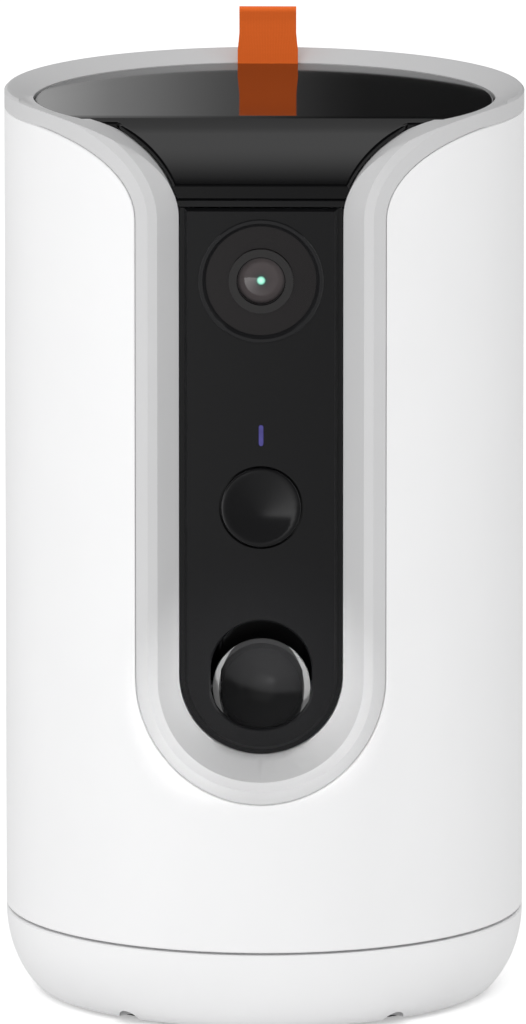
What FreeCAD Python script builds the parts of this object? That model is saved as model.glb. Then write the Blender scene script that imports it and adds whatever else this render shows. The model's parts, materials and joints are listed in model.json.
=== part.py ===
import FreeCAD, Part
import math
import os

# A round, upright pet camera that drops a treat from a hopper into a cup and tosses it out of its front.
# Millimetres. +Z is up, the front faces -Y, and the origin is under the middle of the rubber foot.

os.makedirs("parts", exist_ok=True)

# Outer body
BODY_RADIUS = 60.0
SHELL_WALL = 2.4
EDGE_BREAK = 0.3
FOOT_HEIGHT = 1.0
PARTING_HEIGHT = 19.6
PARTING_GAP = 0.6
RIM_HEIGHT = 211.4
RIM_BAND = 4.2
RIM_ROUND = 0.5
TRIM_FIT = 0.1
SLIP_GAP = 0.2
MOVING_GAP = 0.4

# Front opening: flared shoulders, straight sides and a round bottom
SHOULDER_X = 56.0
SHOULDER_DROP = 22.4
OPENING_BOTTOM_Z = 82.6
OUTER_REACH, OUTER_RISE, OUTER_DEPTH = 27.3, 18.4, 28.2
INNER_REACH, INNER_RISE, INNER_DEPTH = 37.2, 22.0, 19.3
FLARE_REACH, FLARE_RISE, FLARE_DEPTH = 26.3, 19.3, 24.0
FLARE_RUN = 13.0
FLARE_CHAMFER = 1.4
LIP_WIDTH = 3.0
LIP_THICKNESS = 2.0
CHEEK_WALL = 2.0

# Rim funnel and the ledge that the hopper hangs from
FUNNEL_DROP = 2.7
FUNNEL_WIDTH = 6.6
LEDGE_DEPTH = 5.9
COLLAR_THICKNESS = 1.8
COLLAR_DEPTH = 12.4

# Lid
LID_THICKNESS = 2.5
LID_TONGUE_LENGTH = 18.0
LID_BEND_RADIUS = 16.0
LID_TIP_DROP = 15.1
LID_EDGE_ROUND = 0.8
PLUG_DEPTH = 7.2
PLUG_WALL = 2.0
PLUG_GAP = 2.0
SEAL_HEIGHT = 3.0
SEAL_LIFT = 2.0
SEAL_GAP = 0.4

# Pull tab
TAB_WIDTH = 14.1
TAB_THICKNESS = 1.0
TAB_LEG = 0.8
TAB_RISE = 11.0
TAB_INSET = 2.0
TAB_LEG_LENGTH = 7.4
TAB_SIDE_GAP = 0.3
TAB_RECESS_DEPTH = 1.8
CLAMP_LENGTH = 6.0
CLAMP_HOLE_SPACING = 9.0
CLAMP_SCREW_RADIUS = 0.6
CLAMP_HEAD_RADIUS = 1.1
CLAMP_HEAD_HEIGHT = 0.5
CLAMP_TIP = TAB_RECESS_DEPTH + 0.4

# Front panel and its carrier
PANEL_INSET = 12.0
PANEL_HALF_WIDTH = 17.5
PANEL_FLANGE_GROWTH = 1.1
PANEL_FACE_DEPTH = 1.2
PANEL_THICKNESS = 2.2
PANEL_CHAMFER = 0.7
PANEL_TOP_DROP = 20.5
CARRIER_SPACE = 1.3
CARRIER_THICKNESS = 2.0
CARRIER_EDGE = 3.5
CARRIER_TOP_DROP = 24.4
CARRIER_SCREW_ROOM = 2.7
CARRIER_SCREW_HEIGHTS = (82.6, 112.0, 147.0, 180.0)
PANEL_PEG_RADIUS = 1.6
PANEL_PEG_X = 14.0
PANEL_PEG_HEIGHTS = (104.0, 134.0, 150.0)

# Camera
CAMERA_DROP = 37.3
CAMERA_TRIM_RADIUS = 14.3
CAMERA_TRIM_INNER = 12.6
CAMERA_TRIM_PROUD = 0.4
CAMERA_STEP_RADIUS = 13.4
CAMERA_STEP_DEPTH = 0.5
CAMERA_FLANGE_RADIUS = 15.3
CAMERA_FLANGE_THICKNESS = 0.9
WINDOW_RECESS = 0.7
WINDOW_THICKNESS = 1.2
BARREL_RADIUS = 7.4
BARREL_BORE = 5.6
BARREL_LENGTH = 12.0
BARREL_LIP = 0.3
LENS_RECESS = 1.0
LENS_BULGE = 1.5
LENS_THICKNESS = 2.6
HOLDER_SIDE = 17.0
HOLDER_DEPTH = 5.0
CAMERA_BOARD_SIDE = 26.0
SENSOR_SHARE = 0.65
BOARD_THICKNESS = 1.2
LAMP_COUNT = 8
LAMP_RADIUS = 1.5
LAMP_HEIGHT = 2.6
LAMP_BOARD_OUTER = 13.0
LAMP_BOARD_GAP = 0.5
LAMP_BOARD_REST = 0.5

# Status light
LIGHT_HEIGHT = 138.3
LIGHT_WIDTH = 0.95
LIGHT_LENGTH = 4.8
LIGHT_GAP = 0.1
LIGHT_DEPTH = 4.2
LIGHT_FLANGE = 1.4

# Front button
BUTTON_HEIGHT = 121.6
BUTTON_RADIUS = 9.25
BUTTON_GAP = 0.4
BUTTON_PROUD = 0.4
BUTTON_TRAVEL = 1.2
BUTTON_DISH_RADIUS = 7.9
BUTTON_DISH_DEPTH = 1.1
BUTTON_EDGE_ROUND = 0.6
BUTTON_FLANGE_GROWTH = 1.4
BUTTON_FLANGE_THICKNESS = 1.0
BUTTON_STEM_RADIUS = 1.8
BUTTON_STEM_LENGTH = 0.9
FRONT_BOARD_DEPTH = 9.8
FRONT_BOARD_HALF_WIDTH = 14.8
FRONT_BOARD_BOTTOM = 113.4
FRONT_BOARD_TOP = 145.0
SWITCH_SIDE = 6.0
SWITCH_BODY_DEPTH = 3.2
SWITCH_PLUNGER_RADIUS = 1.5
SWITCH_CLEARANCE = 0.1
STANDOFF_RADIUS = 2.2

# Treat mouth and toss cup
MOUTH_RISE = 5.9
MOUTH_GAP = 0.2
MOUTH_SIDE_RISE = 2.1
MOUTH_LOWER_DEPTH = 9.8
MOUTH_CHAMFER = 0.4
CUP_HEIGHT = 77.6
CUP_RADIUS = 11.4
CUP_PROUD = 0.4
CUP_WALL = 1.0
CUP_SIDE_WALL = 2.0
CUP_LIP_FORWARD = 2.2
CUP_TILT = 10.0
CUP_ROOM = 0.8
CUP_SIDE_ROOM = 0.6
PIN_RADIUS = 1.5
PIN_RUNNING_GAP = 0.05
HOUSING_WALL = 2.4
HOUSING_RISE = 21.4
HOUSING_FLANGE_GROWTH = 5.1
HOUSING_FLANGE_THICKNESS = 2.0
HOUSING_BOTTOM_WALL = 2.0
HOUSING_BACK_WALL = 1.2
CARRIER_MOUTH_GROWTH = 2.0

# Cocking gears
GEAR_MODULE = 0.6
CUP_TEETH = 20
DRIVE_TEETH = 54
DRIVE_TEETH_LEFT = range(-1, 7)
COCKING_GEAR_WIDTH = 4.0
GEAR_SIDE_GAP = 1.0
DRIVE_AXIS_DROP_ANGLE = 25.0
DRIVE_HUB_RADIUS = 4.0
DRIVE_HUB_LENGTH = 1.0

# Cup spring
SPRING_COIL_RADIUS = 3.6
SPRING_WIRE = 0.35
SPRING_TURNS = 3.0
SPRING_PITCH = 1.2
COLLAR_RADIUS = 4.4
COLLAR_WIDTH = 2.0

# Small gear motors
MOTOR_WIDTH = 12.0
MOTOR_THICKNESS = 10.0
GEARBOX_LENGTH = 9.0
MOTOR_CAN_LENGTH = 15.0
MOTOR_SHAFT_RADIUS = 1.5
MOTOR_BORE_DEPTH = 3.0
MOTOR_PLATE_WALL = 2.4
MOTOR_SHAFT_HOLE = 2.6
MOTOR_END_BOSS = 2.5
MOTOR_END_BOSS_LENGTH = 1.0

# Metering wheel
ROTOR_Y = 16.0
ROTOR_RADIUS = 27.2
ROTOR_DROP = 65.6
ROTOR_HEIGHT = 11.8
POCKET_COUNT = 5
POCKET_RADIUS = 8.0
POCKET_CIRCLE = 18.0
ROTOR_CONE_RADIUS = 9.0
ROTOR_CONE_TIP = 2.0
ROTOR_CONE_HEIGHT = 7.4
ROTOR_SHAFT_RADIUS = 3.0
ROTOR_SHAFT_DROP = 10.2
ROTOR_SHAFT_EMBED = 6.0
METER_FLOOR = 2.0
METER_WALL = 2.0
METER_BOSS_RADIUS = 6.0
METER_BOSS_HEIGHT = 2.2
OUTLET_RADIUS = 8.2
ROTOR_GEAR_MODULE = 0.5
ROTOR_TEETH = 28
PINION_TEETH = 14
ROTOR_GEAR_WIDTH = 4.0
GEAR_DROP = 0.6
PINION_OVERHANG = 0.6
POST_RADIUS = 2.5
POST_X = 12.0
LUG_RADIUS = 3.4
LUG_HEIGHT = 7.0
LUG_OFFSET = 2.4
LUG_ANGLES = (30.0, 150.0, 225.0, 315.0)

# Hopper
HOPPER_INSET = 9.5
HOPPER_WALL = 1.8
HOPPER_FRONT_DEPTH = 28.0
HOPPER_CORNER = 8.0
HOPPER_CONE_RISE = 0.84
HOPPER_FLANGE_THICKNESS = 2.0
GUARD_HALF_WIDTH = 11.0
GUARD_INNER_RADIUS = 10.4
GUARD_THICKNESS = 1.6
GUARD_RISE = 1.0
GUARD_BACK_HEIGHT = 7.0
BAY_COVER_THICKNESS = 1.1
BAY_COVER_GAP = 0.5

# Drop chute
CHUTE_BORE = 8.0
CHUTE_WALL = 1.2
CHUTE_UPPER_RUN = 8.0
CHUTE_LOWER_RUN = 6.0
CHUTE_OUTLET_OFFSET = 4.6
CHUTE_BEND_RADIUS = 10.0
CHUTE_FLANGE_GROWTH = 2.0
CHUTE_FLANGE_THICKNESS = 1.5

# Base
BASE_WALL = 2.6
BASE_CURVE_WIDTH = 16.0
BASE_CURVE_DEPTH = 22.0
SPIGOT_WALL = 2.3
SPIGOT_BOTTOM = 10.0
SPIGOT_TOP = 25.0
BOSS_RADIUS = 4.0
BOSS_INSET = 8.5
BOSS_WEB = 5.0
BOSS_ANGLES = (55.0, 125.0, 235.0, 305.0)
SHELL_BOSS_TOP = 45.0
BASE_SCREW_HEAD_RADIUS = 3.0
BASE_SCREW_HEAD_HEIGHT = 1.8
BASE_SCREW_RADIUS = 1.5
BASE_SCREW_LENGTH = 33.0
BASE_SCREW_SINK = 5.0
FOOT_INSET = 13.0
FOOT_WIDTH = 6.0
FOOT_GROOVE = 0.6
BALLAST_INSET = 22.5
BALLAST_THICKNESS = 6.0
BALLAST_PEG_RADIUS = 2.0
BALLAST_PEG_X = 20.0

# Inner frame, main board and sockets
FRAME_BOTTOM = 26.0
FRAME_THICKNESS = 2.0
FRAME_SIDE_INSET = 18.0
FRAME_REAR_INSET = 22.0
FRAME_FRONT_Y = -10.0
FRAME_TOP = 122.0
WING_TOP = 64.0
FRAME_POST_RADIUS = 3.6
FRAME_SCREW_INSET = 8.0
FRAME_SCREW_YS = (-4.0, 26.0)
FRAME_WINDOW_MARGIN = 16.0
BOARD_HALF_WIDTH = 22.0
BOARD_BOTTOM = 30.0
BOARD_TOP = 118.0
BOARD_INSET = 16.0
MAIN_BOARD_THICKNESS = 1.6
BOARD_SCREW_X = 17.0
BOARD_SCREW_HEIGHTS = (62.0, 112.0)
SHIELD_SIZE = (18.0, 3.0, 24.0)
SHIELD_HEIGHT = 92.0
CAPACITOR_RADIUS = 4.0
CAPACITOR_LENGTH = 8.0
CAPACITOR_HEIGHT = 72.0
CAPACITOR_X = 12.0
INLET_HEIGHT = 36.0
INLET_WIDTH = 9.0
INLET_TALL = 10.5
INLET_BODY_INSET = 3.4
INLET_NOSE_RADIUS = 4.0
INLET_NOSE_INSET = 0.8
INLET_BORE = 2.85
INLET_BORE_DEPTH = 9.5
INLET_PIN_RADIUS = 1.0
RESET_HEIGHT = 52.0
RESET_RADIUS = 2.0
RESET_PROUD = 0.4
RESET_FLANGE_RADIUS = 3.2
RESET_FLANGE_THICKNESS = 0.9
RESET_STEM_RADIUS = 1.2
RESET_STEM_INSET = 9.0
RESET_SWITCH_DEPTH = 4.4
RESET_SWITCH_SIDE = 6.0
SHELL_CURVE_ROOM = 0.5

# Speakers and their grilles
SPEAKER_Y = 6.0
SPEAKER_HEIGHT = 46.4
SPEAKER_FLANGE_RADIUS = 14.5
SPEAKER_FLANGE_THICKNESS = 1.2
SPEAKER_BASKET_RADIUS = 12.5
SPEAKER_THROAT_RADIUS = 8.0
SPEAKER_DEPTH = 6.0
SPEAKER_WALL = 0.8
SPEAKER_MAGNET_RADIUS = 7.5
SPEAKER_MAGNET_DEPTH = 3.5
CONE_RIM_RADIUS = 10.9
CONE_THROAT_RADIUS = 3.0
CONE_DEPTH = 3.4
CONE_WALL = 0.5
GRILLE_ROWS = 7
GRILLE_COLUMNS = 9
GRILLE_PITCH = 1.86
GRILLE_HOLE = 0.55

# Short screws, all alike
SCREW_HEAD_RADIUS = 1.9
SCREW_HEAD_HEIGHT = 1.4
SCREW_RADIUS = 1.1
SCREW_LENGTH = 5.0
RECESS_SHARE = 0.6
RECESS_WIDTH = 0.5
RECESS_DEPTH = 0.7

# Worked out from the sizes above
ORIGIN = FreeCAD.Vector(0, 0, 0)
X = FreeCAD.Vector(1, 0, 0)
Y = FreeCAD.Vector(0, 1, 0)
Z = FreeCAD.Vector(0, 0, 1)
REACH_FAR = 2 * BODY_RADIUS
SHELL_INNER = BODY_RADIUS - SHELL_WALL
SHELL_BOTTOM = PARTING_HEIGHT + PARTING_GAP / 2
BASE_TOP = PARTING_HEIGHT - PARTING_GAP / 2
SHELL_TOP = RIM_HEIGHT - RIM_BAND
LEDGE_HEIGHT = RIM_HEIGHT - LEDGE_DEPTH
LID_TOP = RIM_HEIGHT - FUNNEL_DROP
LID_UNDER = LID_TOP - LID_THICKNESS
FUNNEL_RADIUS = BODY_RADIUS - FUNNEL_WIDTH
LID_RADIUS = FUNNEL_RADIUS - MOVING_GAP
LID_TIP_HEIGHT = RIM_HEIGHT - LID_TIP_DROP
SHOULDER_Z = RIM_HEIGHT - SHOULDER_DROP
TAB_TOP = RIM_HEIGHT + TAB_RISE
TAB_FRONT_Y = FUNNEL_RADIUS - TAB_INSET
PANEL_Y = PANEL_INSET - BODY_RADIUS
PANEL_TOP = RIM_HEIGHT - PANEL_TOP_DROP
LID_BEND_Y = PANEL_Y + LID_TONGUE_LENGTH
PANEL_BACK_Y = PANEL_Y + PANEL_THICKNESS
CARRIER_Y = PANEL_BACK_Y + CARRIER_SPACE
CARRIER_BACK_Y = CARRIER_Y + CARRIER_THICKNESS
CARRIER_TOP = RIM_HEIGHT - CARRIER_TOP_DROP
CAMERA_HEIGHT = RIM_HEIGHT - CAMERA_DROP
LAMP_BOARD_INNER = BARREL_RADIUS + LAMP_BOARD_GAP
LAMP_CIRCLE = (LAMP_BOARD_INNER + CAMERA_TRIM_INNER) / 2
FRONT_BOARD_Y = PANEL_Y + FRONT_BOARD_DEPTH
FLOOR_TOP = FOOT_HEIGHT + BASE_WALL
CUP_Y = PANEL_Y + CUP_RADIUS - CUP_PROUD
CUP_CENTRE = FreeCAD.Vector(0, CUP_Y, CUP_HEIGHT)
CUP_HOLLOW_RADIUS = CUP_RADIUS - CUP_WALL
CUP_HOLLOW_HALF_WIDTH = CUP_RADIUS - CUP_SIDE_WALL
MOUTH_HEIGHT = CUP_HEIGHT + MOUTH_RISE
MOUTH_SIDE_BOTTOM = CUP_HEIGHT + MOUTH_SIDE_RISE
MOUTH_RADIUS = CUP_RADIUS + MOUTH_GAP
HOUSING_TOP = CUP_HEIGHT + HOUSING_RISE
HOUSING_INNER_RADIUS = CUP_RADIUS + CUP_ROOM
HOUSING_HALF_WIDTH = CUP_RADIUS + CUP_SIDE_ROOM
HOUSING_SIDE = HOUSING_HALF_WIDTH + HOUSING_WALL
HOUSING_FLANGE_HALF_WIDTH = HOUSING_SIDE + HOUSING_FLANGE_GROWTH
HOUSING_BACK_Y = CUP_Y + HOUSING_INNER_RADIUS + HOUSING_BACK_WALL
CUP_PITCH_RADIUS = GEAR_MODULE * CUP_TEETH / 2
DRIVE_PITCH_RADIUS = GEAR_MODULE * DRIVE_TEETH / 2
DRIVE_ANGLE = math.radians(DRIVE_AXIS_DROP_ANGLE)
DRIVE_DISTANCE = CUP_PITCH_RADIUS + DRIVE_PITCH_RADIUS
DRIVE_CENTRE = CUP_CENTRE + FreeCAD.Vector(
    0, DRIVE_DISTANCE * math.cos(DRIVE_ANGLE), -DRIVE_DISTANCE * math.sin(DRIVE_ANGLE))
GEAR_X = HOUSING_SIDE + GEAR_SIDE_GAP
CARRIER_SCREW_X = GEAR_X + COCKING_GEAR_WIDTH + MOVING_GAP + CARRIER_SCREW_ROOM
CARRIER_HALF_WIDTH = CARRIER_SCREW_X + CARRIER_EDGE
ROTOR_BOTTOM = RIM_HEIGHT - ROTOR_DROP
ROTOR_SHAFT_BOTTOM = ROTOR_BOTTOM - ROTOR_SHAFT_DROP
METER_FLOOR_TOP = ROTOR_BOTTOM - MOVING_GAP
METER_BOTTOM = METER_FLOOR_TOP - METER_FLOOR
METER_INNER = ROTOR_RADIUS + MOVING_GAP
METER_OUTER = METER_INNER + METER_WALL
METER_TOP = ROTOR_BOTTOM + ROTOR_HEIGHT + MOVING_GAP
ROTOR_CENTRE = FreeCAD.Vector(0, ROTOR_Y, 0)
OUTLET_Y = ROTOR_Y - POCKET_CIRCLE
ROTOR_GEAR_TOP = METER_BOTTOM - METER_BOSS_HEIGHT - GEAR_DROP
ROTOR_GEAR_BOTTOM = ROTOR_GEAR_TOP - ROTOR_GEAR_WIDTH
PINION_Y = ROTOR_Y + ROTOR_GEAR_MODULE * (ROTOR_TEETH + PINION_TEETH) / 2
BRACKET_TOP = ROTOR_GEAR_BOTTOM - 2 * PINION_OVERHANG
HOPPER_RADIUS = BODY_RADIUS - HOPPER_INSET
HOPPER_FRONT_Y = PANEL_Y + HOPPER_FRONT_DEPTH
HOPPER_FLANGE_RADIUS = SHELL_INNER - TRIM_FIT - COLLAR_THICKNESS - MOVING_GAP
CHUTE_OUTLET_Y = CUP_Y + CHUTE_OUTLET_OFFSET
BOSS_CIRCLE = BODY_RADIUS - BOSS_INSET
FOOT_OUTER = BODY_RADIUS - FOOT_INSET
FOOT_INNER = FOOT_OUTER - FOOT_WIDTH
BALLAST_RADIUS = BODY_RADIUS - BALLAST_INSET
FRAME_HALF_WIDTH = BODY_RADIUS - FRAME_SIDE_INSET
FRAME_REAR_Y = BODY_RADIUS - FRAME_REAR_INSET
FRAME_SCREW_X = FRAME_HALF_WIDTH - FRAME_SCREW_INSET
BOARD_Y = BODY_RADIUS - BOARD_INSET
BOARD_REAR_Y = BOARD_Y + MAIN_BOARD_THICKNESS
INLET_BODY_END = BODY_RADIUS - INLET_BODY_INSET
INLET_NOSE_END = BODY_RADIUS - INLET_NOSE_INSET
RESET_STEM_END = BODY_RADIUS - RESET_STEM_INSET


def vec(x, y, z):
    return FreeCAD.Vector(x, y, z)


def save(node, *solids):
    """Write one node's solids to its file."""
    shape = solids[0] if len(solids) == 1 else Part.makeCompound(list(solids))
    shape.exportStep("parts/%s.step" % node)


def box(x_range, y_range, z_range):
    """Box between three pairs of limits."""
    low = vec(x_range[0], y_range[0], z_range[0])
    return Part.makeBox(x_range[1] - x_range[0], y_range[1] - y_range[0], z_range[1] - z_range[0], low)


def rod(radius, start, axis, length):
    """Cylinder from a start point along an axis."""
    return Part.makeCylinder(radius, length, start, axis)


def tube(outer, inner, start, axis, length):
    """Cylinder with a bore along its whole length."""
    return rod(outer, start, axis, length).cut(rod(inner, start, axis, length))


def joined(*shapes):
    """One clean solid from shapes that touch or overlap."""
    whole = shapes[0].fuse(list(shapes[1:])).removeSplitter()
    return whole.Solids[0] if len(whole.Solids) == 1 else whole


def without(shape, *tools):
    """A shape with the tools' volumes cut away."""
    left = shape.cut(list(tools))
    return left.Solids[0] if len(left.Solids) == 1 else left


def polar(radius, degrees, centre=ORIGIN, height=0.0):
    """Point on a level circle."""
    angle = math.radians(degrees)
    return vec(centre.x + radius * math.cos(angle), centre.y + radius * math.sin(angle), height)


def quarter_arc(centre, major, minor):
    """Quarter of an ellipse, from the tip of one half axis to the tip of the other."""
    ellipse = Part.Ellipse(centre + major, centre + minor, centre)
    return Part.ArcOfEllipse(ellipse, 0, math.pi / 2).toShape()


def half_arc_below(centre, half_width, depth):
    """Right and left quarter below a centre: of an ellipse, or of a circle if it is as deep as wide."""
    if depth > half_width - SLIP_GAP:
        low = centre - Z * half_width
        slant = half_width * math.sqrt(0.5)
        right, left = [centre + X * (side * slant) - Z * slant for side in (1, -1)]
        arcs = [Part.Arc(centre + X * half_width, right, low), Part.Arc(low, left, centre - X * half_width)]
    else:
        curve = Part.Ellipse(centre + X * half_width, centre - Z * depth, centre)
        arcs = [Part.ArcOfEllipse(curve, start * math.pi / 2, (start + 1) * math.pi / 2) for start in (0, 1)]
    return [arc.toShape() for arc in arcs]


def opening_wire(y, reach, rise, depth):
    """Outline of the front opening in a plane of constant Y."""
    half = SHOULDER_X - reach
    top = RIM_HEIGHT + RIM_BAND

    def side_edges(side):
        centre = vec(side * SHOULDER_X, y, SHOULDER_Z)
        shoulder = centre + Z * rise
        return [
            Part.makeLine(vec(side * SHOULDER_X, y, top), shoulder),
            quarter_arc(centre, X * (-side * reach), Z * rise),
            Part.makeLine(vec(side * half, y, SHOULDER_Z), vec(side * half, y, OPENING_BOTTOM_Z)),
        ]

    edges = [Part.makeLine(vec(-SHOULDER_X, y, top), vec(SHOULDER_X, y, top))]
    edges += side_edges(1)
    edges += half_arc_below(vec(0, y, OPENING_BOTTOM_Z), half, depth)
    edges += reversed(side_edges(-1))
    return Part.Wire(edges)


def opening_prism(reach, rise, depth):
    """The front opening's outline, run from in front of the body to just short of its middle."""
    wire = opening_wire(-REACH_FAR / 2, reach, rise, depth)
    return Part.Face(wire).extrude(Y * (REACH_FAR / 2 - 1))


def stadium(y, half_width, top, length):
    """Plate along Y with a flat top and a half round bottom."""
    centre = vec(0, y, OPENING_BOTTOM_Z)
    edges = half_arc_below(centre, half_width, half_width) + [
        Part.makeLine(centre + X * half_width, vec(half_width, y, top)),
        Part.makeLine(vec(half_width, y, top), vec(-half_width, y, top)),
        Part.makeLine(vec(-half_width, y, top), centre - X * half_width),
    ]
    return Part.Face(Part.Wire(Part.__sortEdges__(edges))).extrude(Y * length)


def mouth_prism(y, growth, length):
    """The treat mouth's outline, run along Y."""
    half = MOUTH_RADIUS + growth
    upper = vec(0, y, MOUTH_HEIGHT)
    lower = vec(0, y, MOUTH_SIDE_BOTTOM)
    edges = [
        Part.Arc(upper + X * half, upper + Z * half, upper - X * half).toShape(),
        Part.makeLine(upper - X * half, lower - X * half),
        Part.makeLine(lower + X * half, upper + X * half),
    ]
    edges += half_arc_below(lower, half, MOUTH_LOWER_DEPTH + growth)
    return Part.Face(Part.Wire(Part.__sortEdges__(edges))).extrude(Y * length)


def revolved(points, centre, axis):
    """Ring or disc from (radius, distance along the axis) points."""
    outward = X if abs(axis.x) < 1 else Y
    corners = [centre + outward * r + axis * t for r, t in points]
    return Part.Face(Part.makePolygon(corners + corners[:1])).revolve(centre, axis, 360)


def d_prism(inset, bottom, height):
    """The hopper's plan outline, moved inwards by an inset: a circle cut flat at the front."""
    radius = HOPPER_RADIUS - inset
    disc = rod(radius, Z * bottom, Z, height)
    shape = disc.common(box((-radius, radius), (HOPPER_FRONT_Y + inset, radius), (bottom, bottom + height)))
    upright = [edge for edge in shape.Edges
               if edge.Length > height / 2 and abs(edge.tangentAt(edge.FirstParameter).z) > 0.99
               and edge.BoundBox.YMax < HOPPER_FRONT_Y + inset + 1]
    return shape.makeFillet(HOPPER_CORNER - inset, upright)


def gear(teeth, module, centre, axis, width, tooth_angle, present=None):
    """Spur gear with stub involute teeth. One tooth points along tooth_angle, counted about the axis."""
    pitch = module * teeth / 2
    base = pitch * math.cos(math.radians(20))
    tip = pitch + 0.8 * module
    root = pitch - 1.05 * module
    thinning = 0.075 * module / pitch

    def involute(radius):
        angle = math.acos(min(1.0, base / radius))
        return math.tan(angle) - angle

    at_pitch = math.pi / (2 * teeth) - thinning + involute(pitch)
    low = max(base, root)
    radii = [low + (tip - low) * step / 4 for step in range(5)]
    flank = [(root, at_pitch)] * (root < low) + [(radius, at_pitch - involute(radius)) for radius in radii]
    across = Y if abs(axis.x) > 0 else X
    up = axis.cross(across)
    corners = []
    for index in range(teeth):
        middle = math.radians(tooth_angle) - 2 * math.pi * index / teeth
        if present is not None and index not in {number % teeth for number in present}:
            spans = [(root, at_pitch)]
        else:
            spans = flank
        tooth = [(radius, middle + half) for radius, half in spans]
        tooth += [(radius, middle - half) for radius, half in reversed(spans)]
        corners += [centre + across * (r * math.cos(a)) + up * (r * math.sin(a)) for r, a in tooth]
    return Part.Face(Part.makePolygon(corners + corners[:1])).extrude(axis * width)


def arc_to(start, tangent, end):
    """Arc that leaves a start point along a tangent and reaches an end point."""
    chord = end - start
    half_turn = tangent.getAngle(chord)
    side = (chord.normalize() * math.cos(half_turn) - tangent) * -1
    middle = (start + end) * 0.5
    rise = (end - start).Length / 2 * math.tan(half_turn / 2)
    return Part.Arc(start, middle + side.normalize() * rise, end).toShape()


def helix_wire(radius, pitch, turns):
    """Helix about Z as pairs of tangent arcs, one pair for each quarter turn."""
    quarters = int(4 * turns)

    def point(index):
        angle = index * math.pi / 2
        return vec(radius * math.cos(angle), radius * math.sin(angle), pitch * index / 4)

    def tangent(index):
        angle = index * math.pi / 2
        climb = pitch / (2 * math.pi)
        return vec(-radius * math.sin(angle), radius * math.cos(angle), climb).normalize()

    edges = []
    for index in range(quarters):
        first, last = point(index), point(index + 1)
        leaving, arriving = tangent(index), tangent(index + 1)
        chord = last - first
        along = chord.dot(leaving + arriving)
        spread = 2 * (1 - leaving.dot(arriving))
        arm = (math.sqrt(along ** 2 + spread * chord.dot(chord)) - along) / spread
        joint = (first + leaving * arm + last - arriving * arm) * 0.5
        edges.append(arc_to(first, leaving, joint))
        edges.append(arc_to(joint, (last - arriving * arm - first - leaving * arm).normalize(), last))
    return Part.Wire(edges)


def coil(radius, wire, pitch, turns, start, axis):
    """Helical spring whose first turn begins at the start point's plane."""
    spine = helix_wire(radius, pitch, turns)
    leaving = vec(0, radius, pitch / (2 * math.pi)).normalize()
    profile = Part.Wire(Part.makeCircle(wire, vec(radius, 0, 0), leaving))
    solid = spine.makePipeShell([profile], True, False)
    solid.Placement = FreeCAD.Placement(start + axis * wire, FreeCAD.Rotation(Z, axis))
    return solid


def cross_recess(head, axis, radius):
    """Two crossed slots that a screwdriver fits, sunk into a screw head from its outer face."""
    side = axis.cross(X if abs(axis.x) < 0.5 else Y)
    other = axis.cross(side)
    arms = []
    for along, across in ((side, other), (other, side)):
        half = along * (radius * RECESS_SHARE)
        thin = across * (RECESS_WIDTH / 2)
        corners = [head - half - thin, head + half - thin, head + half + thin, head - half + thin]
        arms.append(Part.Face(Part.makePolygon(corners + corners[:1])).extrude(axis * RECESS_DEPTH))
    return arms


def screw(head, axis, head_radius, head_height, radius, length):
    """Round-headed screw that points along its axis, from the outer face of its head."""
    body = joined(rod(head_radius, head, axis, head_height), rod(radius, head, axis, head_height + length))
    return without(body, *cross_recess(head, axis, head_radius))


def short_screw(seat, axis):
    """Short screw whose head rests on the seat point."""
    head = seat - axis * SCREW_HEAD_HEIGHT
    return screw(head, axis, SCREW_HEAD_RADIUS, SCREW_HEAD_HEIGHT, SCREW_RADIUS, SCREW_LENGTH)


def pilot_hole(seat, axis):
    """Hole that a short screw's shank fills."""
    return rod(SCREW_RADIUS, seat, axis, SCREW_LENGTH)


def boss_points(height):
    """Centres of the four bosses that fix the base to the shell."""
    return [polar(BOSS_CIRCLE, angle, height=height) for angle in BOSS_ANGLES]


def grille_holes(side):
    """Staggered rows of sound holes through one side of the shell."""
    holes = []
    for row in range(GRILLE_ROWS):
        height = SPEAKER_HEIGHT + (row - (GRILLE_ROWS - 1) / 2) * GRILLE_PITCH
        shift = 0.5 * (row % 2)
        for column in range(GRILLE_COLUMNS):
            along = (column - (GRILLE_COLUMNS - 1) / 2 + shift) * GRILLE_PITCH + SPEAKER_Y
            start = vec(side * (SHELL_INNER - SHELL_WALL), along, height)
            holes.append(rod(GRILLE_HOLE, start, X * side, 3 * SHELL_WALL))
    return holes


def on_outside(edge):
    """Whether an edge lies on the body's round outer face."""
    first, last = edge.FirstParameter, edge.LastParameter
    points = [edge.valueAt(first + (last - first) * share) for share in (0.0, 0.25, 0.5, 0.75, 1.0)]
    return all(abs(math.hypot(point.x, point.y) - BODY_RADIUS) < TRIM_FIT / 2 for point in points)


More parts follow.
